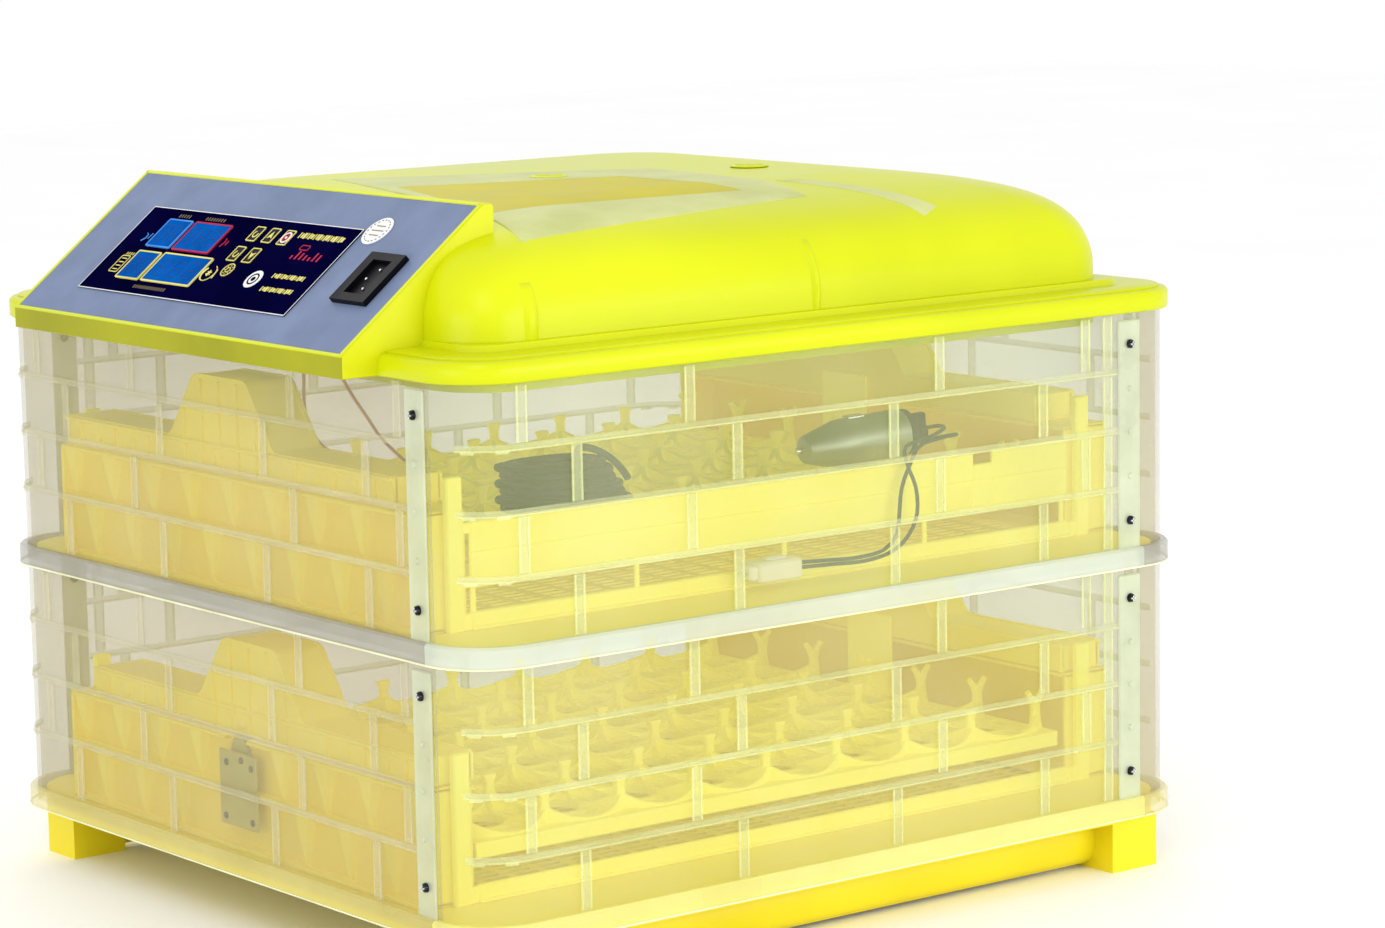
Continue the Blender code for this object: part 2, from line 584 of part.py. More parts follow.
# ---- fan and heater under the lid ----
FAN_Z = LID_Z + 0.046
fan = cylinder("fan_housing", 0.0460, (0.0, 0.0, FAN_Z), 0.0200, BLACK, "Z", 36)
cut(fan, cylinder("tool_fan_bore", 0.0425, (0.0, 0.0, FAN_Z - 0.01), 0.0400, None, "Z", 36))
join(fan, boxes("tool_fan_struts", [((-0.0435, -0.0030, FAN_Z + 0.0170), (0.0435, 0.0030, FAN_Z + 0.0199))]))
rotor = cylinder("fan_rotor", 0.0130, (0.0, 0.0, FAN_Z + 0.0020), 0.0140, BLACK, "Z", 24)
for k in range(5):
    blade = box("tool_blade_%d" % k, (0.0100, -0.0075, -0.0008), (0.0400, 0.0075, 0.0008))
    turn = Matrix.Rotation(math.radians(72 * k), 4, "Z") @ Matrix.Rotation(math.radians(28), 4, "X")
    blade.matrix_world = Matrix.Translation((0.0, 0.0, FAN_Z + 0.0090)) @ turn
    join(rotor, blade)
mesh = bpy.data.meshes.new("heater_ring")
bm = bmesh.new()
rows = []
for k in range(36):
    a = 2 * math.pi * k / 36
    row = []
    for m in range(10):
        b = 2 * math.pi * m / 10
        r = 0.060 + 0.003 * math.cos(b)
        row.append(bm.verts.new((r * math.cos(a), r * math.sin(a), LID_Z + 0.050 + 0.003 * math.sin(b))))
    rows.append(row)
for k in range(36):
    for m in range(10):
        bm.faces.new((rows[k][m], rows[(k + 1) % 36][m], rows[(k + 1) % 36][(m + 1) % 10], rows[k][(m + 1) % 10]))
bmesh.ops.recalc_face_normals(bm, faces=bm.faces)
bm.to_mesh(mesh)
bm.free()
smooth(place(bpy.data.objects.new("heater_ring", mesh), STEEL))

# ---- sensor leads hanging from the control box ----
SENSOR_X = -0.1955
SENSORS = {
    "sensor_lead_1": [(SENSOR_X, -0.012, LID_Z + 0.0325), (SENSOR_X, -0.012, 0.3060), (SENSOR_X, -0.0115, 0.2860),
                      (SENSOR_X, -0.0150, 0.2740), (SENSOR_X, -0.0270, 0.2650), (SENSOR_X, -0.0430, 0.2600)],
    "sensor_lead_2": [(SENSOR_X, -0.0485, LID_Z + 0.0325), (SENSOR_X, -0.0485, 0.3100), (SENSOR_X, -0.0540, 0.2990),
                      (SENSOR_X, -0.0740, 0.2830), (SENSOR_X, -0.0860, 0.2740), (SENSOR_X, -0.1080, 0.2640)],
}
for lead, route in SENSORS.items():
    tube(lead, lerp_path(route, 0.0045), 0.0009, PINK)
for name, y, z in (("sensor_probe_1", -0.0434, 0.2600), ("sensor_probe_2", -0.1084, 0.2640)):
    probe = cylinder(name, 0.0024, (SENSOR_X, y - 0.0120, z), 0.0120, STEEL, "Y", 16)

# ---- the origin goes to the bottom centre of the whole object ----
for item in list(PARTS.objects) + list(CUTTERS.objects):
    item.location.x += CENTRE_X
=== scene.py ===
from math import cos, hypot, pi, radians, sin, sqrt, tanh, tau

import bmesh
import bpy
from mathutils import Matrix, Vector


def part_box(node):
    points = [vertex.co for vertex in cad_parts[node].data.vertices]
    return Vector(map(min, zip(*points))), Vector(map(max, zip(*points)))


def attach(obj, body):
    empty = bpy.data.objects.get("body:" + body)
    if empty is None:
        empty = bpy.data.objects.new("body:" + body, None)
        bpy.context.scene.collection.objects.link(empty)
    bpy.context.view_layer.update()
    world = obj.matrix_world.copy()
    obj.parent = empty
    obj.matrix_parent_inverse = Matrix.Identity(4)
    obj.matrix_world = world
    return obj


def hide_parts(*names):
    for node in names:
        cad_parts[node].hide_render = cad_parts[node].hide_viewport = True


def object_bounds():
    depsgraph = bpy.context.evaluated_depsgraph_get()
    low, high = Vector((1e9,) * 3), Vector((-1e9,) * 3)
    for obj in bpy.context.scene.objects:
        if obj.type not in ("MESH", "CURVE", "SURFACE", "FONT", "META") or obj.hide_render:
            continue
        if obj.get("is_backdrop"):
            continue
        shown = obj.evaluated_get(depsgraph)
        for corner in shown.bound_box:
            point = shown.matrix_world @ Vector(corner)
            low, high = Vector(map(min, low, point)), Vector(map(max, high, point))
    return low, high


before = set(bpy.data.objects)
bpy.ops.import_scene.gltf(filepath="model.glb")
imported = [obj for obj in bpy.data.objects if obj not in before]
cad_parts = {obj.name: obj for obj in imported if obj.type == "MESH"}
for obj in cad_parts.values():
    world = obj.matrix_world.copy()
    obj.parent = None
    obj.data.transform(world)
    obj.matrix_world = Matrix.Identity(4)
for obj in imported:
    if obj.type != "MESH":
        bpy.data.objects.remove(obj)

cad_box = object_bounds()
CX = 0.01075             # the storeys' centre, seen from the object's origin
HALF_X = 0.25
HALF_Y = 0.24
CORNER = 0.037
FLANGE_H = 0.0115
FLANGE_OUT = 0.0045
WALL_T = 0.0025
SEAM = 0.0395
STRIP_W = 0.0165
STOREY_H = 0.143
LEVELS = {"lower": 0.033, "upper": 0.176}
RIDES = {"lower": "base", "upper": "upper_storey"}
LID_Z = 0.319
SLOPE = radians(38.42)
SLOPE_X = -0.2715
SLOPE_Z = 0.3315
SHIFTS = {"lower": -0.0105, "upper": 0.0105}

# ---- camera
scene = bpy.context.scene
scene.view_settings.view_transform = "Standard"
scene.cycles.transparent_max_bounces = 40
CAMERA_AT = (-1.40325, -1.9217, 0.5848)
az = radians(-37.4)
el = radians(8.965)
roll = radians(-1.106)
back = Vector((sin(az) * cos(el), -cos(az) * cos(el), sin(el)))
right = Vector((cos(az), sin(az), 0.0))
up = back.cross(right)
side = right * cos(roll) + up * sin(roll)
top = up * cos(roll) - right * sin(roll)
cam_data = bpy.data.cameras.new("camera")
cam_data.lens = 109.56
cam_data.sensor_width = 36.0
cam_data.shift_x = 0.0219
cam_data.shift_y = 0.0267
cam_data.clip_start = 0.05
camera = bpy.data.objects.new("camera", cam_data)
scene.collection.objects.link(camera)
camera.matrix_world = Matrix((
    (side.x, top.x, back.x, CAMERA_AT[0]),
    (side.y, top.y, back.y, CAMERA_AT[1]),
    (side.z, top.z, back.z, CAMERA_AT[2]),
    (0.0, 0.0, 0.0, 1.0)))
scene.camera = camera


# ---- materials
def srgb(r, g, b):
    out = []
    for value in (r, g, b):
        c = value / 255.0
        out.append(c / 12.92 if c < 0.04045 else ((c + 0.055) / 1.055) ** 2.4)
    return out


def finish(name, dark, light, rough, scale, metal=0.0, alpha=None, bump=0.0, specular=0.5, painted_glow=0.0):
    """A procedural finish: two tones, a roughness range and maybe a haze range, mixed by noise, and maybe a
    painted glow, where the tones also emit light though the part is no lamp.
    """
    mat = bpy.data.materials.new(name)
    mat.use_nodes = True
    tree = mat.node_tree
    shader = tree.nodes["Principled BSDF"]

    def node(kind, **values):
        made = tree.nodes.new("ShaderNode" + kind)
        for socket, value in values.items():
            made.inputs[socket.replace("_", " ")].default_value = value
        return made

    def link(source, output, target, socket):
        tree.links.new(source.outputs[output], target.inputs[socket])

    def noise_to(socket, low, high):
        span = node("MapRange", From_Min=0.3, From_Max=0.7, To_Min=low, To_Max=high)
        link(noise, "Fac", span, "Value")
        link(span, "Result", shader, socket)

    where = node("TexCoord")
    spread = node("Mapping")
    link(where, "Object", spread, "Vector")
    noise = node("TexNoise", Scale=scale, Detail=4.0)
    link(spread, "Vector", noise, "Vector")
    ramp = node("ValToRGB")
    for stop, position, tone in zip(ramp.color_ramp.elements, (0.32, 0.68), (dark, light)):
        stop.position = position
        stop.color = (*srgb(*tone), 1.0)
    link(noise, "Fac", ramp, "Fac")
    link(ramp, "Color", shader, "Base Color")
    noise_to("Roughness", *rough)
    shader.inputs["Metallic"].default_value = metal
    shader.inputs["Specular IOR Level"].default_value = specular
    if alpha:
        noise_to("Alpha", *alpha)
    if bump:
        fine = node("TexNoise", Scale=900.0, Detail=2.0)
        link(spread, "Vector", fine, "Vector")
        relief = node("Bump", Strength=bump, Distance=0.0004)
        link(fine, "Fac", relief, "Height")
        link(relief, "Normal", shader, "Normal")
    # painted glow: the base tones are emitted as light, to brighten parts that are no lamp
    if painted_glow:
        link(ramp, "Color", shader, "Emission Color")
        shader.inputs["Emission Strength"].default_value = painted_glow
    return mat


WALL = finish("wall_haze", (180, 186, 138), (200, 205, 160), (0.2, 0.34), 9.0,
              alpha=(0.19, 0.24), specular=0.3)
# painted shade: a greyer, denser copy of the same clear wall for the walls other than the front; the denser
# haze also stands in for stronger reflection at a grazing view
WALL_PAINTED_SHADE = finish("wall_haze_painted_shade", (176, 168, 126), (192, 184, 144), (0.24, 0.38), 9.0,
                   alpha=(0.25, 0.31), specular=0.25)
BAR = finish("mortar_haze", (208, 214, 160), (224, 229, 180), (0.2, 0.34), 20.0,
             alpha=(0.2, 0.27), specular=0.3)
# painted shade: a greyer copy of the mortar haze for the short sides
BAR_PAINTED_SHADE = finish("mortar_haze_painted_shade", (204, 200, 164), (220, 216, 182), (0.24, 0.38), 20.0,
                  alpha=(0.2, 0.27), specular=0.2)
# painted highlight: bright glints laid along the mortar edges
EDGE = finish("edge_glint", (232, 236, 168), (244, 247, 190), (0.16, 0.26), 30.0, alpha=(0.28, 0.36))
# painted shade on a painted highlight: a dimmer copy of the edge glints for the short sides
GLINT_PAINTED_SHADE = finish("edge_glint_painted_shade", (220, 216, 184), (236, 232, 202), (0.2, 0.32), 30.0,
                   alpha=(0.14, 0.22))
# painted highlight: the bright line along each flange's lower edge
LIP_PAINTED_HIGHLIGHT = finish("lip_painted_highlight", (236, 240, 196), (250, 252, 214), (0.16, 0.26), 30.0, alpha=(0.6, 0.72))
FROST = finish("flange_frost", (206, 214, 194), (218, 226, 208), (0.24, 0.36), 9.0, alpha=(0.46, 0.52))
# painted shade: a darker copy of the flange frost for the short sides
FROST_PAINTED_SHADE = finish("flange_frost_painted_shade", (164, 162, 148), (178, 176, 162), (0.26, 0.38), 9.0,
                    alpha=(0.48, 0.56))
# painted shade: a darker copy of the lower flange's yellow-tinted frost for the short sides
LOW_FLANGE_PAINTED_SHADE = finish("flange_low_painted_shade", (222, 210, 128), (234, 224, 146), (0.26, 0.38), 9.0,
                  alpha=(0.34, 0.42), specular=0.3)
# painted light: the yellow tint stands in for the yellow base pan glowing through the frosted flange
FROST_LOW = finish("flange_frost_low", (242, 236, 140), (250, 245, 158), (0.24, 0.36), 9.0,
                   alpha=(0.46, 0.54))
STRIP = finish("strip_frost", (204, 212, 182), (220, 228, 198), (0.26, 0.38), 26.0,
               alpha=(0.5, 0.58), specular=0.3)
# yellow moulding with a painted glow that brightens the shaded insides
YELLOW = finish("yellow_moulding", (250, 233, 76), (254, 239, 98), (0.36, 0.52), 11.0,
                bump=0.1, specular=0.3, painted_glow=0.09)
# painted shade: a darker yellow for the recess floors between the gussets, with a weaker painted glow
YELLOW_RECESS_SHADE = finish("yellow_recess_painted_shade", (246, 220, 62), (250, 228, 76), (0.4, 0.54), 11.0,
                     bump=0.1, specular=0.2, painted_glow=0.07)
# tray yellow with a stronger painted glow that brightens the shaded insides
YELLOW_BRIGHT = finish("yellow_tray", (253, 242, 84), (255, 247, 106), (0.34, 0.48), 13.0,
                       bump=0.08, specular=0.3, painted_glow=0.14)
PAN = finish("yellow_pan", (226, 208, 14), (238, 220, 30), (0.34, 0.48), 10.0, bump=0.08, specular=0.3)
LEMON = finish("lemon_lid", (192, 200, 4), (206, 213, 12), (0.26, 0.38), 5.0, bump=0.05, specular=0.18)
OLIVE = finish("lemon_box", (196, 200, 6), (210, 213, 14), (0.3, 0.42), 12.0, bump=0.06, specular=0.2)
OLIVE_DARK = finish("lemon_box_band", (146, 146, 6), (162, 162, 10), (0.3, 0.42), 12.0,
                    bump=0.06, specular=0.15)
BAND = finish("window_band", (184, 190, 112), (202, 206, 142), (0.36, 0.5), 30.0, bump=0.1, specular=0.1)
ISLAND = finish("window_island", (186, 176, 10), (202, 192, 26), (0.36, 0.5), 16.0,
                bump=0.08, specular=0.08)
PLATE = finish("blue_grey_plate", (104, 118, 148), (120, 134, 164), (0.5, 0.64), 34.0,
               bump=0.12, specular=0.12)
NAVY = finish("navy_label", (2, 2, 36), (6, 5, 50), (0.5, 0.6), 20.0, specular=0.0)
LCD = finish("lcd_blue", (4, 76, 156), (10, 92, 178), (0.36, 0.46), 60.0, specular=0.0)
LCD_DARK = finish("lcd_digit", (6, 58, 128), (10, 70, 146), (0.4, 0.5), 60.0, specular=0.02)
INK_YELLOW, INK_BLUE, INK_RED, INK_DIM, INK_WHITE = (
    finish("print_" + name, dark, light, (0.5, 0.6), 50.0, specular=0.04) for name, dark, light in (
        ("yellow", (214, 204, 104), (230, 220, 130)),
        ("blue", (60, 128, 214), (88, 152, 228)),
        ("red", (160, 26, 58), (186, 42, 74)),
        ("dim", (128, 114, 76), (150, 136, 94)),
        ("white", (220, 220, 218), (236, 236, 234))))
KEY = finish("key_dark", (8, 6, 20), (16, 12, 32), (0.42, 0.52), 40.0, specular=0.04)
STICKER = finish("sticker_white", (226, 226, 228), (240, 240, 242), (0.5, 0.64), 60.0, specular=0.2)
BLACK = finish("black_plastic", (3, 3, 7), (9, 9, 14), (0.4, 0.54), 30.0, bump=0.06, specular=0.1)
METAL = finish("motor_can", (150, 158, 136), (178, 186, 162), (0.34, 0.46), 18.0, metal=0.85)
CHROME = finish("bright_metal", (214, 214, 214), (240, 240, 240), (0.1, 0.2), 30.0, metal=1.0)
ZINC = finish("bracket_zinc", (176, 172, 92), (200, 192, 104), (0.4, 0.54), 24.0, metal=0.35)
SCREW = finish("screw_dark", (30, 30, 34), (52, 52, 58), (0.16, 0.28), 60.0, metal=0.9)
GREEN = finish("board_green", (16, 84, 44), (28, 108, 58), (0.34, 0.46), 40.0)
WIRE = finish("lead_black", (8, 14, 28), (16, 24, 40), (0.4, 0.54), 90.0, specular=0.2)
CORD = finish("cord_black", (6, 12, 28), (14, 22, 42), (0.42, 0.56), 70.0, specular=0.2)
PINK = finish("lead_pink", (150, 70, 84), (178, 96, 108), (0.42, 0.56), 90.0)
CREAM = finish("connector_cream", (232, 228, 206), (246, 242, 224), (0.36, 0.5), 40.0)
COPPER = finish("copper", (176, 112, 60), (200, 136, 80), (0.3, 0.4), 60.0, metal=1.0)
FLOOR = finish("studio_floor", (253, 253, 253), (255, 255, 255), (0.7, 0.8), 3.0, specular=0.1)


# ---- mesh code
class Shape:
    """Collects closed solids into one mesh."""

    def __init__(self, place=None):
        self.verts = []
        self.faces = []
        self.place = place or Matrix.Identity(4)

    def add(self, points, faces):
        first = len(self.verts)
        self.verts += [self.place @ Vector(p) for p in points]
        self.faces += [[first + i for i in face] for face in faces]

    def loft(self, rings, closed=False):
        """Skins equal rings; the ends are capped unless the stack closes on itself."""
        count = len(rings[0])
        points = [p for ring in rings for p in ring]
        faces = []
        rows = len(rings)
        for r in range(rows if closed else rows - 1):
            a = r * count
            b = (r + 1) % rows * count
            for k in range(count):
                j = (k + 1) % count
                faces.append((a + k, a + j, b + j, b + k))
        if not closed:
            faces.append(tuple(reversed(range(count))))
            faces.append(tuple((rows - 1) * count + k for k in range(count)))
        self.add(points, faces)

    def prism(self, outline, low, high, edge=0.0):
        """Upright prism over an outline, its rims softened by edge."""
        if edge <= 0.0:
            self.loft([[(x, y, low) for x, y in outline], [(x, y, high) for x, y in outline]])
            return
        cx = sum(p[0] for p in outline) / len(outline)
        cy = sum(p[1] for p in outline) / len(outline)
        rx = max(abs(p[0] - cx) for p in outline)
        ry = max(abs(p[1] - cy) for p in outline)
        kx = 1.0 - edge / rx
        ky = 1.0 - edge / ry
        inner = [(cx + (x - cx) * kx, cy + (y - cy) * ky) for x, y in outline]
        self.loft([[(x, y, low) for x, y in inner], [(x, y, low + edge) for x, y in outline],
                   [(x, y, high - edge) for x, y in outline], [(x, y, high) for x, y in inner]])

    def box(self, lo, hi, edge=0.0):
        x0, y0, z0 = (min(a, b) for a, b in zip(lo, hi))
        x1, y1, z1 = (max(a, b) for a, b in zip(lo, hi))
        if edge <= 0.0:
            outline = [(x0, y0), (x1, y0), (x1, y1), (x0, y1)]
        else:
            e = edge
            outline = [(x0 + e, y0), (x1 - e, y0), (x1, y0 + e), (x1, y1 - e),
                       (x1 - e, y1), (x0 + e, y1), (x0, y1 - e), (x0, y0 + e)]
        self.prism(outline, z0, z1, edge)

    def lathe(self, profile, centre, axis="Z", count=28):
        """profile is (distance along the axis, radius) from end to end."""
        rings = []
        for along, radius in profile:
            ring = []
            for k in range(count):
                a = 2.0 * pi * k / count
                u = radius * cos(a)
                v = radius * sin(a)
                p = {"Z": (u, v, along), "X": (along, u, v), "Y": (v, along, u)}[axis]
                ring.append(Vector(centre) + Vector(p))
            rings.append(ring)
        self.loft(rings)

    def rod(self, points, radius, count=8, flat=1.0):
        """A round bar that follows points."""
        path = [Vector(p) for p in points]
        rings = []
        normal = None
        for i, p in enumerate(path):
            ahead = path[min(i + 1, len(path) - 1)] - path[max(i - 1, 0)]
            ahead.normalize()
            if normal is None:
                normal = ahead.orthogonal().normalized()
            normal = (normal - ahead * normal.dot(ahead)).normalized()
            other = ahead.cross(normal)
            rings.append([p + normal * radius * cos(2 * pi * k / count)
                          + other * radius * flat * sin(2 * pi * k / count)
                          for k in range(count)])
        self.loft(rings)

    def thicken(self, high, low, faces):
        """Closes a net of faces with a copy of itself lower down."""
        count = len(high)
        out = []
        edges = set()
        for face in faces:
            out.append(tuple(face))
            out.append(tuple(count + i for i in reversed(face)))
            edges.update(zip(face, face[1:] + face[:1]))
        out += [(b, a, count + a, count + b) for a, b in sorted(edges) if (b, a) not in edges]
        self.add(high + low, out)

    def slab(self, points, faces, low, high):
        self.thicken([(x, y, high) for x, y in points], [(x, y, low) for x, y in points], faces)

    def piece(self, name, mat, body, smooth=32.0, replaces=(), slot=None):
        mesh = bpy.data.meshes.new(name)
        mesh.from_pydata([tuple(v) for v in self.verts], [], self.faces)
        bm = bmesh.new()
        bm.from_mesh(mesh)
        bmesh.ops.recalc_face_normals(bm, faces=bm.faces)
        bm.to_mesh(mesh)
        bm.free()
        mesh.materials.append(mat)
        mesh.shade_smooth()
        mesh.set_sharp_from_angle(angle=radians(smooth))
        obj = bpy.data.objects.new(name, mesh)
        scene.collection.objects.link(obj)
        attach(obj, body)
        if replaces:
            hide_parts(*replaces)
        return obj


def carry(node, mat, bevel=0.0):
    """Keeps a CAD node, with a procedural finish and softer edges."""
    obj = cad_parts[node]
    obj.data.materials.clear()
    obj.data.materials.append(mat)
    if bevel:
        mod = obj.modifiers.new("soft_edges", "BEVEL")
        mod.width = bevel
        mod.segments = 2
        mod.limit_method = "ANGLE"
        mod.angle_limit = radians(40.0)
        mod.harden_normals = True


def arc(cx, cy, r, first, last, steps):
    """Points round a centre, from one angle to another, in degrees."""
    angles = [radians(first + (last - first) * k / steps) for k in range(steps + 1)]
    return [(cx + r * cos(a), cy + r * sin(a)) for a in angles]


def shifted(x=0.0, y=0.0, z=0.0):
    return Matrix.Translation((CX + x, y, z))


def rounded(hx, hy, r, steps=10, cx=0.0, cy=0.0):
    """A rectangle with round corners, given by its half sizes."""
    out = []
    for sx, sy, start in ((1, 1, 0), (-1, 1, 90), (-1, -1, 180), (1, -1, 270)):
        out += arc(cx + sx * (hx - r), cy + sy * (hy - r), r, start, start + 90.0, steps)
    return out


def curve_cord(name, points, radius, mat, body):
    data = bpy.data.curves.new(name, "CURVE")
    data.dimensions = "3D"
    data.bevel_depth = radius
    data.bevel_resolution = 4
    data.use_fill_caps = True
    spline = data.splines.new("POLY")
    spline.points.add(len(points) - 1)
    for point, co in zip(spline.points, points):
        point.co = (co[0], co[1], co[2], 1.0)
    data.materials.append(mat)
    obj = bpy.data.objects.new(name, data)
    scene.collection.objects.link(obj)
    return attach(obj, body)


def smooth_path(points, step):
    out = []
    full = [points[0]] + list(points) + [points[-1]]
    for i in range(1, len(full) - 2):
        p0, p1, p2, p3 = (Vector(full[i + d]) for d in (-1, 0, 1, 2))
        n = max(1, int(round((p2 - p1).length / step)))
        for k in range(n):
            t = k / n
            out.append(0.5 * (2 * p1 + (p2 - p0) * t + (2 * p0 - 5 * p1 + 4 * p2 - p3) * t * t
                              + (3 * p1 - p0 - 3 * p2 + p3) * t * t * t))
    out.append(Vector(points[-1]))
    return out


# ---- cords first
LEADS = {
    "motor_lead_1": [(0.1185, -0.14, 0.25), (0.13, -0.142, 0.252), (0.136, -0.15, 0.254),
                     (0.131, -0.162, 0.2545), (0.112, -0.172, 0.2525), (0.088, -0.179, 0.25),
                     (0.0815, -0.1875, 0.242), (0.085, -0.1905, 0.229), (0.084, -0.1925, 0.215),
                     (0.077, -0.1935, 0.204), (0.065, -0.194, 0.1965), (0.045, -0.1945, 0.1935),
                     (0.02, -0.1945, 0.1945), (-0.0016, -0.1945, 0.1955)],
    "motor_lead_2": [(0.1185, -0.145, 0.245), (0.13, -0.148, 0.2465), (0.1385, -0.157, 0.249),
                     (0.135, -0.168, 0.251), (0.12, -0.1755, 0.252), (0.098, -0.18, 0.25),
                     (0.086, -0.1852, 0.242), (0.078, -0.1868, 0.229), (0.075, -0.188, 0.215),
                     (0.072, -0.189, 0.204), (0.062, -0.1897, 0.1968), (0.043, -0.1903, 0.195),
                     (0.02, -0.1905, 0.1962), (-0.0016, -0.1905, 0.1975)],
}
SENSOR_X = -0.1955
PLUG_Z = LID_Z + 0.0325
SENSORS = {
    "sensor_lead_1": [(SENSOR_X, -0.012, PLUG_Z), (SENSOR_X, -0.012, 0.306), (SENSOR_X, -0.0115, 0.286),
                      (SENSOR_X, -0.015, 0.274), (SENSOR_X, -0.027, 0.265), (SENSOR_X, -0.043, 0.26)],
    "sensor_lead_2": [(SENSOR_X, -0.0485, PLUG_Z), (SENSOR_X, -0.0485, 0.31), (SENSOR_X, -0.054, 0.299),
                      (SENSOR_X, -0.074, 0.283), (SENSOR_X, -0.086, 0.274), (SENSOR_X, -0.108, 0.264)],
}

# the connector on the ends of the two motor leads
shape = Shape(shifted(-0.018, -0.1925, 0.1962))
shape.prism(rounded(0.015, 0.0076, 0.0026, 4), -0.0056, 0.0056, 0.0012)
shape.box((-0.02, -0.0058, -0.0042), (-0.014, 0.0058, 0.0042), 0.0012)
shape.box((-0.006, -0.003, 0.005), (0.007, 0.003, 0.0072), 0.0008)
connector = shape.piece("motor_connector_body", CREAM, "upper_storey", replaces=["motor_connector"])
shape = Shape(shifted(-0.018, -0.1925, 0.1962))
for dy in (-0.0025, 0.0025):
    shape.rod([(-0.0235, dy, 0.0), (-0.019, dy, 0.0)], 0.0009)
contacts = shape.piece("connector_pins", CHROME, "upper_storey")

for name, route in LEADS.items():
    points = [p + Vector((CX, 0, 0)) for p in smooth_path(route, 0.005)]
    lead = curve_cord(name + "_cord", points, 0.0011, WIRE, "upper_storey")
    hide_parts(name)

for name, route in SENSORS.items():
    points = [p + Vector((CX, 0, 0)) for p in smooth_path(route, 0.0045)]
    lead = curve_cord(name + "_cord", points, 0.0009, PINK, "lid")
    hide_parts(name)
    probe = "sensor_probe_" + name[-1]
    low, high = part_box(probe)
    mid = (low + high) / 2
    shape = Shape()
    shape.lathe([(low.y, 0.001), (low.y + 0.0012, 0.0021), (low.y + 0.003, 0.0024), (high.y - 0.0014, 0.0024),
                 (high.y, 0.0016)], (mid.x, 0.0, mid.z), "Y", 20)
    tip = shape.piece(probe + "_can", CHROME, "lid", replaces=[probe])

# a hank of spare cord: flat oval turns, wound outwards, one layer up, and inwards again
REST = 0.2343
CORD_R = 0.002
PITCH = 0.0045
LIFT = 0.0043
TURNS = 2.0
LAYERS = 6
PER_TURN = 28
INNER_R = 0.012
HANK_X, HANK_Y, HANK_HALF = -0.113, -0.135, 0.018
TAPER = 0.0016


def hank_point(turned, r, height, layer):
    """A point on an oval turn; higher layers are shorter, so that the right end slopes."""
    a = 2.0 * pi * turned
    half = HANK_HALF - TAPER * layer
    x = HANK_X - TAPER * layer + half * tanh(2.5 * cos(a)) + r * cos(a)
    return Vector((x + CX, HANK_Y + r * sin(a), height))


path = []
height = REST + CORD_R + 0.0003
for layer in range(LAYERS):
    outward = layer % 2 == 0
    offset = layer * (TURNS + 0.5)
    for i in range(int(TURNS * PER_TURN) + 1):
        t = i / PER_TURN
        path.append(hank_point(t + offset, INNER_R + PITCH * (t if outward else TURNS - t), height, layer))
    if layer < LAYERS - 1:
        for i in range(1, PER_TURN // 2):
            f = i / (PER_TURN / 2)
            rise = f * f * (3 - 2 * f)
            path.append(hank_point(TURNS + 0.5 * f + offset, INNER_R + (PITCH * TURNS if outward else 0.0),
                                   height + LIFT * rise, layer + rise))
        height += LIFT
# the free end: one more half turn, then up over the turns and down their sloping side
for i in range(1, PER_TURN // 2 + 1):
    f = i / (PER_TURN / 2)
    path.append(hank_point(TURNS + 0.5 * f + offset, INNER_R - 0.0022 * f, height, LAYERS - 1))
first = path[-1].copy()
last = Vector((-0.0745 + CX, -0.14, REST + 0.0115))
handles = (first, first + Vector((0.0, 0.016, 0.0095)), last + Vector((0.0, 0.016, 0.017)), last)
for i in range(1, 25):
    t = i / 24
    weights = ((1 - t) ** 3, 3 * t * (1 - t) ** 2, 3 * t * t * (1 - t), t ** 3)
    path.append(sum((w * h for w, h in zip(weights, handles)), Vector()))
hank = curve_cord("cord_hank", path, CORD_R, CORD, "upper_storey")
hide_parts("cord_bundle")


# ---- clear panels
def corner_band(half_a, half_b, outer, inner, start, tail):
    """Plan of a wall with its left corner, between two insets from the flange's edge."""
    def corner(inset):
        return arc(-half_a + CORNER, -half_b + CORNER, CORNER - inset, 270.0, 180.0, 12)

    end_y = -half_b + CORNER + tail
    return ([(start, -half_b + outer)] + corner(outer) + [(-half_a + outer, end_y), (-half_a + inner, end_y)]
            + corner(inner)[::-1] + [(start, -half_b + inner)])


def band_solid(shape, half_a, half_b, rings, start, tail):
    """rings is (outer, inner, height) from the bottom up; a corner band of changing thickness."""
    shape.loft([[(x, y, z) for x, y in corner_band(half_a, half_b, outer, inner, start, tail)]
                for outer, inner, z in rings])


LONG_JOINTS = ((-0.212, -0.1062, 0.063, 0.1695), (-0.1785, -0.0757, 0.0305, 0.1378))
SHORT_JOINTS = ((-0.19, -0.0855, 0.077, 0.1765), (-0.159, -0.0565, 0.049, 0.1465))
COURSES = (0.045, 0.078, 0.111)
BAR_W = 0.0028
BAR_H = 0.0018
RAISED = 0.0008
WALL_TOP = STOREY_H - 0.0003
LONG_FACES = ("front", "back")
# the short sides take the darker copies, painted shade; the lower storey's frosts carry a painted yellow glow
# from the pan behind
FROSTS = {"upper": (FROST, FROST_PAINTED_SHADE), "lower": (FROST_LOW, LOW_FLANGE_PAINTED_SHADE)}   # long sides, short sides


def bar_track(half_a, half_b, right_end, first):
    """Plan points and outward normals along a wall's outer face, from part way round its corner."""
    out = []
    r = CORNER - FLANGE_OUT
    for k in range(11):
        a = radians(first + (270.0 - first) * k / 10)
        out.append((-half_a + CORNER + r * cos(a), -half_b + CORNER + r * sin(a), cos(a), sin(a)))
    out.append((right_end, -half_b + FLANGE_OUT, 0.0, -1.0))
    return out


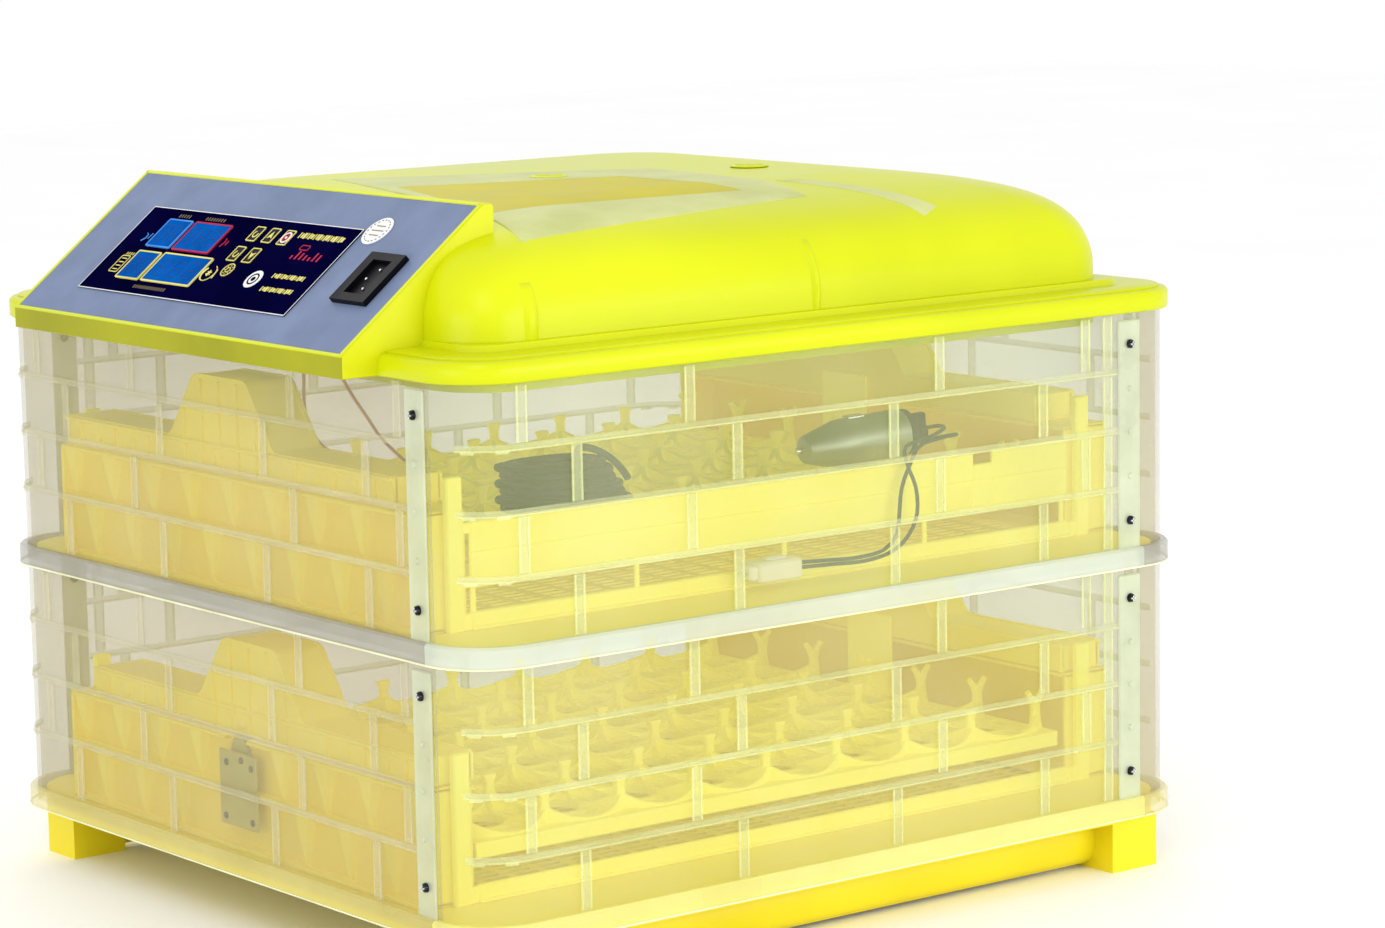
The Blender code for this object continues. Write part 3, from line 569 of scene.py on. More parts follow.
def sweep(shape, track, low, high, raised):
    """A low bar that follows a track, proud of the wall by raised."""
    ease = min(0.0004, (high - low) / 4)
    rings = []
    for x, y, nx, ny in track:
        ring = []
        for out, z in ((-0.0002, low), (raised * 0.6, low), (raised, low + ease), (raised, high - ease),
                       (raised * 0.6, high), (-0.0002, high)):
            ring.append((x + nx * out, y + ny * out, z))
        rings.append(ring)
    shape.loft(rings)


def shells(node, storey, place, face, half_a, half_b, start):
    """A panel's wall, its flange and the bright lip along the flange's lower edge, a painted highlight."""
    tail = SEAM - CORNER - 0.0003
    inside = FLANGE_OUT - 0.0002
    wall = ((FLANGE_OUT, FLANGE_OUT + WALL_T, 0.003), (FLANGE_OUT, FLANGE_OUT + WALL_T, WALL_TOP))
    flange = ((0.001, inside, 0.0), (0.0, inside, 0.001), (0.0, inside, FLANGE_H - 0.0012),
              (0.0012, inside, FLANGE_H))
    lip = ((-0.0003, 0.0006, -0.0001), (-0.0003, 0.0006, 0.0009))
    for suffix, mat, rings, gap, replaced in (
            # the front wall takes the clear haze and the other walls its darker copy, painted shade; the
            # short sides' flanges are painted shade too
            ("_wall", WALL if face == "front" else WALL_PAINTED_SHADE, wall, 0.0002, [node]),
            ("_flange", FROSTS[storey][face not in LONG_FACES], flange, 0.0, []),
            ("_lip", LIP_PAINTED_HIGHLIGHT, lip, 0.0002, [])):
        shape = Shape(place)
        band_solid(shape, half_a, half_b, rings, start - gap, tail - gap)
        shape.piece(node + suffix, mat, RIDES[storey], replaces=replaced)


def mortar(node, body, place, face, half_a, half_b, start):
    """The raised joints of the brick pattern, and bright lines along their edges that are painted highlights.
    """
    plane = -half_b + FLANGE_OUT
    right_end = start - STRIP_W - 0.0004
    levels = (FLANGE_H,) + COURSES + (WALL_TOP - 0.0004,)
    bars = Shape(place)
    glints = Shape(place)
    track = bar_track(half_a, half_b, right_end, 262.0 if face == "right" else 210.0)
    for z in COURSES:
        low = z - BAR_H
        sweep(bars, track, low, z + BAR_H, RAISED)
        # painted highlight along each course's lower edge
        sweep(glints, track, low - 0.0001, low + 0.0011, RAISED + 0.0004)
        # short painted highlights near the corner
        for spot in (1, 2, 6, 7) if face != "right" else ():
            sweep(glints, track[spot:spot + 2], low - 0.0012, low + 0.0012, RAISED + 0.0006)
    for row in range(4):
        low = levels[row] + (BAR_H if row else 0.0)
        high = levels[row + 1] - (BAR_H if row < 3 else 0.0)
        joints = SHORT_JOINTS[row % 2 ^ 1]
        if face in LONG_FACES:
            joints = LONG_JOINTS[row % 2 ^ 1] + (right_end - 0.0075,)
        for x in joints:
            bars.box((x - BAR_W, plane - RAISED, low + 0.0001),
                     (x + BAR_W, plane + 0.0002, high - 0.0001), 0.0003)
            # painted highlights down both edges of each upright joint
            for edge in (x - BAR_W, x + BAR_W):
                glints.box((edge - 0.00055, plane - RAISED - 0.0004, low + 0.0003),
                           (edge + 0.00055, plane - 0.0001, high - 0.0003), 0.0002)
    # the short sides take the dimmer copies: painted shade
    bars.piece(node + "_mortar", BAR if face in LONG_FACES else BAR_PAINTED_SHADE, body)
    glints.piece(node + "_glints", EDGE if face in LONG_FACES else GLINT_PAINTED_SHADE, body)


def screw_strip(node, body, place, half_b, start):
    """The frosted strip at a panel's right end, with its bumps and its two cross-slotted screws, whose slots
    are drawn as bright chrome crosses: painted highlights.
    """
    plane = -half_b + FLANGE_OUT
    middle = start - STRIP_W / 2
    strip = Shape(place)
    strip.box((start - STRIP_W, plane - 0.0016, FLANGE_H - 0.001),
              (start - 0.0002, plane + 0.0002, WALL_TOP - 0.0035), 0.0007)
    for z in (0.101, 0.077, 0.052):
        strip.lathe([(plane - 0.0028, 0.0006), (plane - 0.0024, 0.0014), (plane - 0.0012, 0.0019)],
                    (middle, 0, z), "Y", 12)
    screws = Shape(place)
    slot_glints = Shape(place)
    for z in (0.126, 0.027):
        screws.lathe([(plane - 0.0042, 0.0004), (plane - 0.0039, 0.0014), (plane - 0.0031, 0.0023),
                      (plane - 0.002, 0.0026), (plane + 0.0004, 0.0026)], (middle, 0, z), "Y", 16)
        # the cross slots' shape is real; their bright chrome is a painted highlight
        for across, up_down in ((0.0004, 0.0015), (0.0015, 0.0004)):
            slot_glints.box((middle - across, plane - 0.0044, z - up_down),
                      (middle + across, plane - 0.0037, z + up_down))
    strip.piece(node + "_strip", STRIP, body)
    screws.piece(node + "_screws", SCREW, body)
    slot_glints.piece(node + "_screw_slot_glints", CHROME, body)


for storey, z0 in LEVELS.items():
    for face, turn in (("front", 0), ("left", -90), ("back", 180), ("right", 90)):
        half_a, half_b = (HALF_X, HALF_Y) if face in LONG_FACES else (HALF_Y, HALF_X)
        node = f"{storey}_panel_{face}"
        start = half_a - SEAM
        place = Matrix.Translation((CX, 0, z0)) @ Matrix.Rotation(radians(turn), 4, "Z")
        shells(node, storey, place, face, half_a, half_b, start)
        mortar(node, RIDES[storey], place, face, half_a, half_b, start)
        screw_strip(node, RIDES[storey], place, half_b, start)


# ---- storey insides
CELL = 0.05
POSTS_X = [(i - 4) * CELL for i in range(9)]
POSTS_Y = [(j - 3) * CELL for j in range(7)]
RIB_R = 0.0354
TRAY_X, TRAY_Y = 0.2042, 0.1648
PLATE_LOW, PLATE_HIGH = 0.0362, 0.04


def tray_net():
    """Flat net of one egg cell: a round hole, four crescent slots and solid webs at the corners."""
    angles = [radians(a) for a in (-45, -36, -26, -13, 0, 13, 26, 36, 45)]
    points = []
    faces = []
    for quarter in range(4):
        turn = pi / 2 * quarter
        first = len(points)
        for a in angles:
            rib = CELL * cos(a) - sqrt(max(RIB_R ** 2 - (CELL * sin(a)) ** 2, 0.0))
            edge = CELL / 2 / cos(a)
            for r in (0.0142, min(rib + 0.0016, edge - 0.0012), edge - 0.001, edge):
                points.append((r * cos(a + turn), r * sin(a + turn)))
        for k in range(8):
            for band in range(3):
                if band == 1 and 2 <= k <= 5:
                    continue
                a = first + 4 * k + band
                faces.append([a, a + 1, a + 5, a + 4])
    return points, faces


def weld(points, faces):
    index = {}
    remap = []
    merged = []
    for x, y in points:
        key = (round(x, 5), round(y, 5))
        if key not in index:
            index[key] = len(merged)
            merged.append((x, y))
        remap.append(index[key])
    out = []
    for face in faces:
        ring = [remap[i] for i in face]
        if len(set(ring)) == len(ring):
            out.append(ring)
    return merged, out


def tray(storey, z0, shift):
    body = storey + "_turner"
    cell_points, cell_faces = tray_net()
    points = []
    faces = []
    for x in POSTS_X[:-1]:
        for y in POSTS_Y[:-1]:
            first = len(points)
            points += [(px + x + CELL / 2, py + y + CELL / 2) for px, py in cell_points]
            faces += [[first + i for i in f] for f in cell_faces]
    merged, faces = weld(points, faces)
    shape = Shape(shifted(y=shift, z=z0))
    shape.slab(merged, faces, PLATE_LOW + 0.0002, PLATE_HIGH - 0.0002)
    # front and back bands, side bands and their rims
    for s in (-1, 1):
        shape.box((-TRAY_X, s * 0.1499, PLATE_LOW), (TRAY_X, s * TRAY_Y, PLATE_HIGH), 0.0005)
        shape.box((-TRAY_X + 0.0002, s * (TRAY_Y - 0.0024), 0.0312),
                  (TRAY_X - 0.0002, s * (TRAY_Y - 0.0001), PLATE_HIGH - 0.0005), 0.0005)
        shape.box((s * 0.1999, -0.1502, PLATE_LOW), (s * TRAY_X, 0.1502, PLATE_HIGH), 0.0005)
        shape.box((s * (TRAY_X - 0.002), -0.02, 0.037), (s * (TRAY_X - 0.0002), 0.02, 0.0875), 0.0004)
    shape.piece(storey + "_tray_plate", YELLOW_BRIGHT, body, replaces=[storey + "_tray"])

    ribs = Shape(shifted(y=shift, z=z0))
    steps = 12
    reach = radians(45.0)
    for cx in [x + CELL / 2 for x in POSTS_X[:-1]]:
        for cy in [y + CELL / 2 for y in POSTS_Y[:-1]]:
            for quarter in range(4):
                turn = pi / 2 * quarter
                if abs(cx + CELL * cos(turn)) > 0.2:
                    continue
                rings = []
                for k in range(steps + 1):
                    t = -1.0 + 2.0 * k / steps
                    a = turn + reach * t * 0.985
                    top_z = 0.0412 + 0.0078 * t * t
                    ring = []
                    for offset, z in ((-0.0019, 0.0372), (0.0016, 0.0372), (0.0016, top_z - 0.0007),
                                      (0.001, top_z), (-0.0013, top_z), (-0.0019, top_z - 0.0007)):
                        r = RIB_R + offset
                        ring.append((cx + r * cos(a), cy + r * sin(a), z))
                    rings.append(ring)
                ribs.loft(rings)
    ribs.piece(storey + "_tray_ribs", YELLOW_BRIGHT, body)

    posts = Shape(shifted(y=shift, z=z0))
    for i, x in enumerate(POSTS_X):
        for y in POSTS_Y:
            rings = []
            for z, a, b in ((0.0375, 0.0048, 0.0034), (0.043, 0.0034, 0.0024), (0.052, 0.0026, 0.0019),
                            (0.0545, 0.0032, 0.0022), (0.0568, 0.0042, 0.0024), (0.0578, 0.0038, 0.002)):
                rings.append([(x + u, y + v, z) for u, v in rounded(a, b, b * 0.6, 3)])
            posts.loft(rings)
            if i in (0, 8):
                for s in (-1, 1):
                    posts.rod([(x, y, 0.053), (x + s * 0.0022, y, 0.0572), (x + s * 0.0046, y, 0.0596),
                               (x + s * 0.006, y, 0.0616)], 0.0018, 8)
    posts.piece(storey + "_tray_posts", YELLOW_BRIGHT, body)


HUMP_TOP = 0.126


def mirrored(s, y, z):
    """The frame of a storey's side: x runs outwards from the middle, to the left where s is -1."""
    return shifted(y=y, z=z) @ Matrix.Diagonal((s, 1.0, 1.0, 1.0))


def drive_bar(storey, z0, shift, side, s):
    """Sliding bar over an end wall, with its trapezoid hump and upright ribs."""
    name = f"{storey}_drive_bar_{side}"
    shape = Shape(mirrored(s, shift, z0))
    low, top = 0.0743, 0.09
    half = [(0.166, low), (0.166, top - 0.0015), (0.1645, top), (0.055, top), (0.0515, top + 0.0018),
            (0.029, HUMP_TOP - 0.0034), (0.0262, HUMP_TOP - 0.001), (0.0225, HUMP_TOP)]
    outline = half + [(-y, z) for y, z in reversed(half)]
    for inner, outer in ((0.2053, 0.2078), (0.233, 0.2356)):
        shape.loft([[(inner, y, z) for y, z in outline], [(outer, y, z) for y, z in outline]])
    # the top skin that joins the two plates, and the floor of the bar
    skin = [(-0.166, low + 0.001), (-0.166, 0.089), (-0.165, 0.0896), (-0.0545, 0.0896), (-0.0508, 0.0916),
            (-0.0284, 0.1224), (-0.0258, 0.1246), (-0.022, 0.1256)]
    skin += [(-y, z) for y, z in reversed(skin)]
    rings = []
    for y, z in skin:
        rings.append([(0.207, y, z), (0.234, y, z), (0.234, y * 0.985, z - 0.0022),
                      (0.207, y * 0.985, z - 0.0022)])
    shape.loft(rings)
    shape.box((0.207, -0.1655, low), (0.234, 0.1655, low + 0.002))
    for y in (-0.15, -0.112, -0.076, 0.076, 0.112, 0.15):
        shape.box((0.2352, y - 0.001, low + 0.001), (0.2376, y + 0.001, 0.0886), 0.0004)
    for y, high in ((-0.036, 0.106), (-0.018, 0.1235), (0.0, 0.1235), (0.018, 0.1235), (0.036, 0.106)):
        shape.box((0.2352, y - 0.001, low + 0.001), (0.2374, y + 0.001, high), 0.0004)
    shape.box((0.2352, -0.1655, 0.087), (0.2378, 0.1655, 0.0893), 0.0005)
    for y in (-0.131, -0.094, 0.094, 0.131, 0.009):
        shape.lathe([(0.235, 0.004), (0.2366, 0.0038), (0.2372, 0.0026)], (0, y, 0.081), "X", 16)
    shape.piece(name + "_moulding", YELLOW, storey + "_turner", replaces=[name])


def end_wall(storey, z0, side, s):
    """Ribbed end wall: two rows of recesses between V-shaped gussets."""
    name = f"{storey}_end_wall_{side}"
    low, high = 0.0101, 0.073
    # the recess floor takes the darker yellow: painted shade in the recesses
    sheet = Shape(mirrored(s, 0.0, z0))
    sheet.box((0.2322, -0.1765, low + 0.0005), (0.2347, 0.1765, high - 0.0008), 0.0004)
    sheet.piece(name + "_sheet", YELLOW_RECESS_SHADE, RIDES[storey])
    shape = Shape(mirrored(s, 0.0, z0))
    opening = storey == "lower" and side == "left"
    if opening:
        for y0, y1 in ((-0.178, -0.0115), (0.0115, 0.178)):
            shape.box((0.2075, y0, high - 0.0025), (0.24, y1, high), 0.0006)
        shape.box((0.2075, -0.0125, high - 0.0025), (0.2292, 0.0125, high), 0.0006)
    else:
        shape.box((0.2075, -0.178, high - 0.0025), (0.24, 0.178, high), 0.0006)
    shape.box((0.2075, -0.178, low), (0.24, 0.178, low + 0.0026), 0.0006)
    shape.box((0.234, -0.1778, 0.0425), (0.2396, 0.1778, 0.0448), 0.0005)
    for y in (-0.178, 0.1755):
        shape.box((0.2075, y, low + 0.0005), (0.24, y + 0.0025, high - 0.0005), 0.0005)
    # gussets, wide at the top of each row
    for row, (z_low, z_high) in enumerate(((0.0124, 0.0428), (0.0446, 0.0708))):
        for k in range(9):
            y = -0.168 + 0.042 * k + (0.021 if row == 0 else 0.0)
            if abs(y) > 0.176 or (opening and abs(y) < 0.026):
                continue
            rings = []
            for z, half, out in ((z_low, 0.002, 0.2352), (z_low + 0.004, 0.0024, 0.2366),
                                 (z_high - 0.003, 0.0074, 0.2392), (z_high, 0.0078, 0.2396)):
                rings.append([(0.2336, y - half * 1.2, z), (0.2336, y + half * 1.2, z),
                              (out, y + half * 0.72, z), (out, y - half * 0.72, z)])
            shape.loft(rings)
    shape.piece(name + "_moulding", YELLOW, RIDES[storey], replaces=[name])


def floor_grille(storey, z0):
    shape = Shape(shifted(z=z0))
    outer = rounded(0.242, 0.232, 0.033, 8)
    inner = rounded(0.224, 0.176, 0.02, 8)
    points = outer + inner
    count = len(outer)
    faces = [[k, (k + 1) % count, count + (k + 1) % count, count + k] for k in range(count)]
    shape.slab(points, faces, 0.0078, 0.0098)
    for k in range(44):
        y = -0.172 + 0.008 * k
        shape.box((-0.2245, y - 0.0016, 0.0079), (0.2245, y + 0.0016, 0.0097), 0.0003)
    for k in range(23):
        x = -0.22 + 0.02 * k
        shape.box((x - 0.0026, -0.1765, 0.008), (x + 0.0026, 0.1765, 0.0096), 0.0003)
    shape.piece(storey + "_grille_bars", YELLOW, RIDES[storey], replaces=[storey + "_floor_grille"])


for storey, z0 in LEVELS.items():
    floor_grille(storey, z0)
    tray(storey, z0, SHIFTS[storey])
    for side_name, s in (("left", -1), ("right", 1)):
        drive_bar(storey, z0, SHIFTS[storey], side_name, s)
        end_wall(storey, z0, side_name, s)
    for side_name, s in (("front", -1), ("back", 1)):
        shape = Shape(shifted(z=z0))
        shape.box((-0.207, s * 0.1785, 0.0101), (0.207, s * 0.1815, 0.0195), 0.0007)
        shape.box((-0.2075, s * 0.1775, 0.0101), (0.2075, s * 0.1835, 0.0122), 0.0006)
        shape.piece(f"{storey}_rail_{side_name}_moulding", YELLOW_BRIGHT, RIDES[storey],
                    replaces=[f"{storey}_rail_{side_name}"])
        posts = Shape(shifted(z=z0))
        for e in (-1, 1):
            posts.box((e * 0.212, s * 0.1786, 0.0099), (e * 0.222, s * 0.183, 0.0905), 0.0008)
            posts.box((e * 0.207, s * 0.179, 0.0101), (e * 0.2125, s * 0.182, 0.019), 0.0006)
        posts.piece(f"{storey}_corner_posts_{side_name}", YELLOW_BRIGHT, RIDES[storey])

# the guard strip in front of the upper tray
GUARD_X, GUARD_LOW, GUARD_HIGH = 0.2065, 0.032, 0.0665
NOTCH_X = 0.136
shape = Shape(shifted(z=LEVELS["upper"]))
for lo, hi, edge in (
        ((-GUARD_X, -0.181, GUARD_LOW), (NOTCH_X, -0.1786, GUARD_HIGH), 0.0006),
        ((NOTCH_X - 0.0002, -0.181, GUARD_LOW), (NOTCH_X + 0.0142, -0.1786, GUARD_HIGH - 0.0073), 0.0006),
        ((NOTCH_X + 0.014, -0.181, GUARD_LOW), (GUARD_X, -0.1786, GUARD_HIGH), 0.0006),
        ((-0.206, -0.1818, 0.05), (0.206, -0.18, 0.0507), 0.0002),
        ((-0.206, -0.1822, GUARD_LOW), (0.206, -0.18, GUARD_LOW + 0.0018), 0.0005),
        ((-0.2062, -0.182, GUARD_HIGH - 0.0014), (NOTCH_X + 0.0002, -0.179, GUARD_HIGH + 0.0002), 0.0005),
        ((-0.2125, -0.1806, 0.06), (-0.206, -0.179, 0.066), 0.0005),
        ((-0.2125, -0.1806, GUARD_LOW), (-0.206, -0.179, 0.038), 0.0005)):
    shape.box(lo, hi, edge)
for x in (-0.205, -0.1, 0.0, 0.1, 0.203):
    shape.box((x - 0.0015, -0.1806, 0.019), (x + 0.0015, -0.1788, 0.033), 0.0004)
shape.piece("upper_guard_moulding", YELLOW_BRIGHT, "upper_storey", replaces=["upper_guard"])

# the two motors
shape = Shape(shifted(z=LEVELS["lower"]))
shape.lathe([(-0.2292, 0.0215), (-0.2286, 0.023), (-0.2275, 0.0235), (-0.2145, 0.0235), (-0.2128, 0.0226),
             (-0.2118, 0.0205)], (0, 0, 0.0375), "X", 40)
shape.piece("lower_motor_can", METAL, "base", replaces=["lower_motor"])
shape = Shape(shifted(z=LEVELS["lower"]))
shape.box((-0.2418, -0.0238, 0.0242), (-0.2405, 0.0138, 0.0658), 0.0005)
shape.piece("lower_motor_plate", ZINC, "base", replaces=["lower_motor_bracket"])
shape = Shape(shifted(z=LEVELS["lower"]))
for y, z in ((0.006, 0.059), (-0.009, 0.062), (-0.019, 0.059), (0.008, 0.029), (-0.019, 0.029)):
    shape.lathe([(-0.2428, 0.0008), (-0.2424, 0.0018), (-0.2414, 0.0021)], (0, y, z), "X", 14)
shape.piece("lower_motor_screws", SCREW, "base")
low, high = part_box("lower_pinion")
mid = (low + high) / 2
shape = Shape()
teeth = 18
rings = []
for x in (low.x, high.x):
    ring = []
    for k in range(teeth * 4):
        a = 2 * pi * k / (teeth * 4)
        r = 0.0093 if k % 4 in (0, 1) else 0.0081
        ring.append((x, mid.y + r * cos(a), mid.z + r * sin(a)))
    rings.append(ring)
shape.loft(rings)
shape.lathe([(high.x - 0.0002, 0.003), (high.x + 0.0006, 0.0026)], (0, mid.y, mid.z), "X", 16)
shape.piece("lower_pinion_gear", ZINC, "lower_pinion", replaces=["lower_pinion"], slot="motor_steel")

turned = shifted(0.051, -0.135, REST + 0.0142) @ Matrix.Rotation(radians(-6), 4, "Z")
turned = turned @ Matrix.Translation((0.033, 0, 0.0008)) @ Matrix.Rotation(radians(-3.5), 4, "Y")
turned = turned @ Matrix.Translation((-0.033, 0, 0))
shape = Shape(turned)
shape.lathe([(0.0, 0.0066), (0.0006, 0.0076), (0.002, 0.0082), (0.02, 0.013), (0.0225, 0.0137),
             (0.0245, 0.0139), (0.064, 0.0139), (0.0649, 0.0132)], (0, 0, 0), "X", 48)
shape.lathe([(0.041, 0.013), (0.0413, 0.01398), (0.0432, 0.01398), (0.0435, 0.013)], (0, 0, 0), "X", 48)
shape.piece("loose_motor_can", METAL, "upper_storey", replaces=["loose_motor"])
shape = Shape(turned)
shape.lathe([(0.0644, 0.012), (0.065, 0.0132), (0.069, 0.013), (0.07, 0.0118), (0.0706, 0.008)],
            (0, 0, 0), "X", 40)
for y, z in ((-0.003, 0.006), (-0.005, -0.001), (0.005, 0.003)):
    shape.box((0.069, y - 0.0024, z - 0.005), (0.08, y + 0.0024, z + 0.0042), 0.0008)
shape.piece("loose_motor_cap", BLACK, "upper_storey")
shape = Shape(turned)
# painted highlight: a bright chrome strip along the can's top; the shaft below is real metal
shape.box((0.029, -0.0034, 0.0132), (0.04, 0.0034, 0.0149), 0.0005)
shape.lathe([(-0.005, 0.0014), (-0.0046, 0.0018), (0.0006, 0.0018)], (0, 0, 0), "X", 16)
shape.piece("loose_motor_shaft_and_glint", CHROME, "upper_storey")

carry("base_pan", PAN, 0.0012)
for side, s in (("front", -1), ("back", 1)):
    rings = []
    for x in (-0.1966, 0.1966):
        ring = [(x, s * (0.2078 + 0.0062 * sin(pi * k / 12)), 0.0166 - 0.013 * cos(pi * k / 12))
                for k in range(13)]
        rings.append(ring)
    shape = Shape(shifted())
    shape.loft(rings)
    shape.piece("base_sill_" + side, PAN, "base")

# ---- lid
RINGS = ((0.006, 0.0), (0.033, 0.0012), (0.047, 0.006), (0.058, 0.015), (0.066, 0.029), (0.072, 0.05),
         (0.076, 0.076), (0.078, 0.098))
DOME_X, DOME_Y, DOME_R = 0.222, 0.208, 0.034
SKIN = 0.0025
SKIRT_Z = -0.0088


def dome_curve():
    """Finer profile of the dome: (height over the lid's base, inset)."""
    nodes = [(0.006, 0.0), (0.02, 0.0003)] + list(RINGS[1:])
    line = smooth_path([(z, inset, 0.0) for z, inset in nodes], 0.0028)
    return [(p.x, p.y) for p in line]


DOME = dome_curve()


def dome_height(x, y):
    """Height of the dome over the lid's base at a plan position."""
    best = DOME[-1][0]
    for (z0, i0), (z1, i1) in zip(DOME, DOME[1:]):
        signed = []
        for inset in (i0, i1):
            qx = abs(x) - (DOME_X - inset - DOME_R)
            qy = abs(y) - (DOME_Y - inset - DOME_R)
            signed.append(hypot(max(qx, 0), max(qy, 0)) + min(max(qx, qy), 0) - DOME_R)
        if signed[0] <= 0 < signed[1]:
            f = signed[0] / (signed[0] - signed[1])
            return z0 + (z1 - z0) * f
    return best


shape = Shape(shifted(z=LID_Z))
outer = [[(x, y, SKIRT_Z) for x, y in rounded(DOME_X - 0.0004, DOME_Y - 0.0004, DOME_R, 14)]]
inner = []
for z, inset in DOME:
    outer.append([(x, y, z) for x, y in rounded(DOME_X - inset, DOME_Y - inset, DOME_R, 14)])
    under = SKIRT_Z if z < 0.0061 else z - SKIN
    deep = inset + SKIN
    inner.append([(x, y, under) for x, y in rounded(DOME_X - deep, DOME_Y - deep, DOME_R - SKIN, 14)])
shape.loft(inner[::-1] + outer)
shape.piece("lid_dome", LEMON, "lid", 50.0, replaces=["lid_shell"])

# flange round the dome, with its step, and the fillet between them
shape = Shape(shifted(z=LID_Z))


def frame_ring(shape, levels):
    """A ring round the dome; levels is (inset from the flange's edge, height) from the bottom up."""
    rings = []
    for out, z in levels:
        rings.append([(x, y, z) for x, y in rounded(HALF_X - out, HALF_Y - out, CORNER - min(out, 0.02), 14)])
    inside = rounded(DOME_X - 0.001, DOME_Y - 0.001, DOME_R - 0.001, 14)
    inner_low = [(x, y, levels[0][1]) for x, y in inside]
    inner_high = [(x, y, levels[-1][1]) for x, y in inside]
    shape.loft([inner_low] + rings + [inner_high], closed=True)


frame_ring(shape, ((0.001, 0.0003), (0.0, 0.0013), (0.0, 0.01), (0.0016, 0.0116), (0.008, 0.012),
                   (0.022, 0.0122), (0.0262, 0.0136), (0.0276, 0.0165)))
shape.piece("lid_flange", LEMON, "lid", 50.0)
shape = Shape(shifted(z=LID_Z))
frame_ring(shape, ((0.0052, 0.0112), (0.005, 0.0128), (0.006, 0.0134), (0.02, 0.0134)))
shape.piece("lid_flange_step", LEMON, "lid", 50.0)

# control box: a hollow wedge over the left side
def slope_xz(s, n):
    return (SLOPE_X + s * cos(SLOPE) - n * sin(SLOPE), SLOPE_Z + s * sin(SLOPE) + n * cos(SLOPE))


BOX_Y = 0.1665
BOX_LOW = 0.3194
BOX_BACK_LOW = 0.356
peak = slope_xz(0.113, -0.0002)
back_x = peak[0] + 0.0064
ridge = [(peak[0] - 0.0006, peak[1] - 0.0005), (peak[0] + 0.001, peak[1] + 0.0001),
         (back_x - 0.001, peak[1]), (back_x, peak[1] - 0.001)]
front_edge = [(SLOPE_X + 0.001, BOX_LOW), (SLOPE_X, BOX_LOW + 0.001), (SLOPE_X, SLOPE_Z - 0.0008),
              (SLOPE_X + 0.0006, SLOPE_Z + 0.0002)]
outer_line = [(-0.2385, BOX_LOW)] + front_edge + ridge + [(back_x, BOX_BACK_LOW)]
inner_line = [(back_x - 0.0022, BOX_BACK_LOW), (back_x - 0.0022, peak[1] - 0.0036),
              (peak[0] + 0.0014, peak[1] - 0.004), slope_xz(0.106, -0.006), slope_xz(0.003, -0.006),
              (SLOPE_X + 0.0025, SLOPE_Z - 0.004), (SLOPE_X + 0.0025, BOX_LOW + 0.0025),
              (-0.2385, BOX_LOW + 0.0025)]
shape = Shape(shifted())
shape.loft([[(x, y, z) for x, z in outer_line + inner_line] for y in (-BOX_Y + 0.003, BOX_Y - 0.003)])


def on_dome(x):
    """A point where the box's end plate sinks just under the dome."""
    return (x, LID_Z + dome_height(x, BOX_Y) - 0.0018)


side_outline = front_edge + ridge + [on_dome(back_x)]
side_outline += [on_dome(-0.2215 + 0.0035 * k) for k in reversed(range(13))]
side_outline.append((-DOME_X + 0.0006, BOX_LOW))
cx = sum(p[0] for p in side_outline) / len(side_outline)
cz = sum(p[1] for p in side_outline) / len(side_outline)
for sign in (-1, 1):
    rings = []
    for depth, grow in ((0.0, 0.013), (0.0006, 0.004), (0.0014, 0.0), (0.0032, 0.0)):
        y = sign * (BOX_Y - depth)
        rings.append([(x + (cx - x) * grow, y, z + (cz - z) * grow) for x, z in side_outline])
    shape.loft(rings)
shape.piece("control_box", OLIVE, "lid", 30.0)
shape = Shape(shifted())
shape.box((SLOPE_X - 0.0004, -BOX_Y + 0.0004, 0.3197), (SLOPE_X + 0.0004, BOX_Y - 0.0004, 0.3308), 0.0002)
shape.piece("control_box_band", OLIVE_DARK, "lid")

ON_SLOPE = Matrix.Translation((SLOPE_X + CX, 0.0, SLOPE_Z)) @ Matrix.Rotation(-SLOPE, 4, "Y")


def on_slope():
    """A shape drawn on the control face: x up the slope, y along it, z out of it."""
    return Shape(ON_SLOPE)


# bright rim round the plate
shape = on_slope()
for s0, s1, y0, y1 in ((-0.0008, 0.0014, -0.1655, 0.1655), (0.1112, 0.1138, -0.1655, 0.1655),
                       (0.0, 0.113, -0.1658, -0.1634), (0.0, 0.113, 0.1634, 0.1658)):
    shape.box((s0, y0, -0.0022), (s1, y1, 0.0004), 0.0004)
shape.piece("control_box_rim", LEMON, "lid")

# two fins on the dome's front wall
shape = Shape(shifted())
for x, half, z_low, z_high in ((-0.184, 0.0056, 0.333, 0.364), (0.002, 0.0036, 0.333, 0.372)):
    rings = []
    for i in range(9):
        f = i / 8
        z = z_low + (z_high - z_low) * f
        swell = sin(pi * min(1.0, 0.12 + f * 0.88)) * 0.0026 + 0.0002
        inset = 0.0
        for (za, ia), (zb, ib) in zip(DOME, DOME[1:]):
            if za <= z - LID_Z <= zb:
                inset = ia + (ib - ia) * (z - LID_Z - za) / (zb - za)
        face = -DOME_Y + inset
        shoulder = face - swell * 0.6
        rings.append([(x - half, face + 0.0012, z), (x - half * 0.5, shoulder, z), (x, face - swell, z),
                      (x + half * 0.5, shoulder, z), (x + half, face + 0.0012, z)])
    shape.loft(rings)
shape.piece("dome_fins", LEMON, "lid", 60.0)


PATCH_T = 0.0012


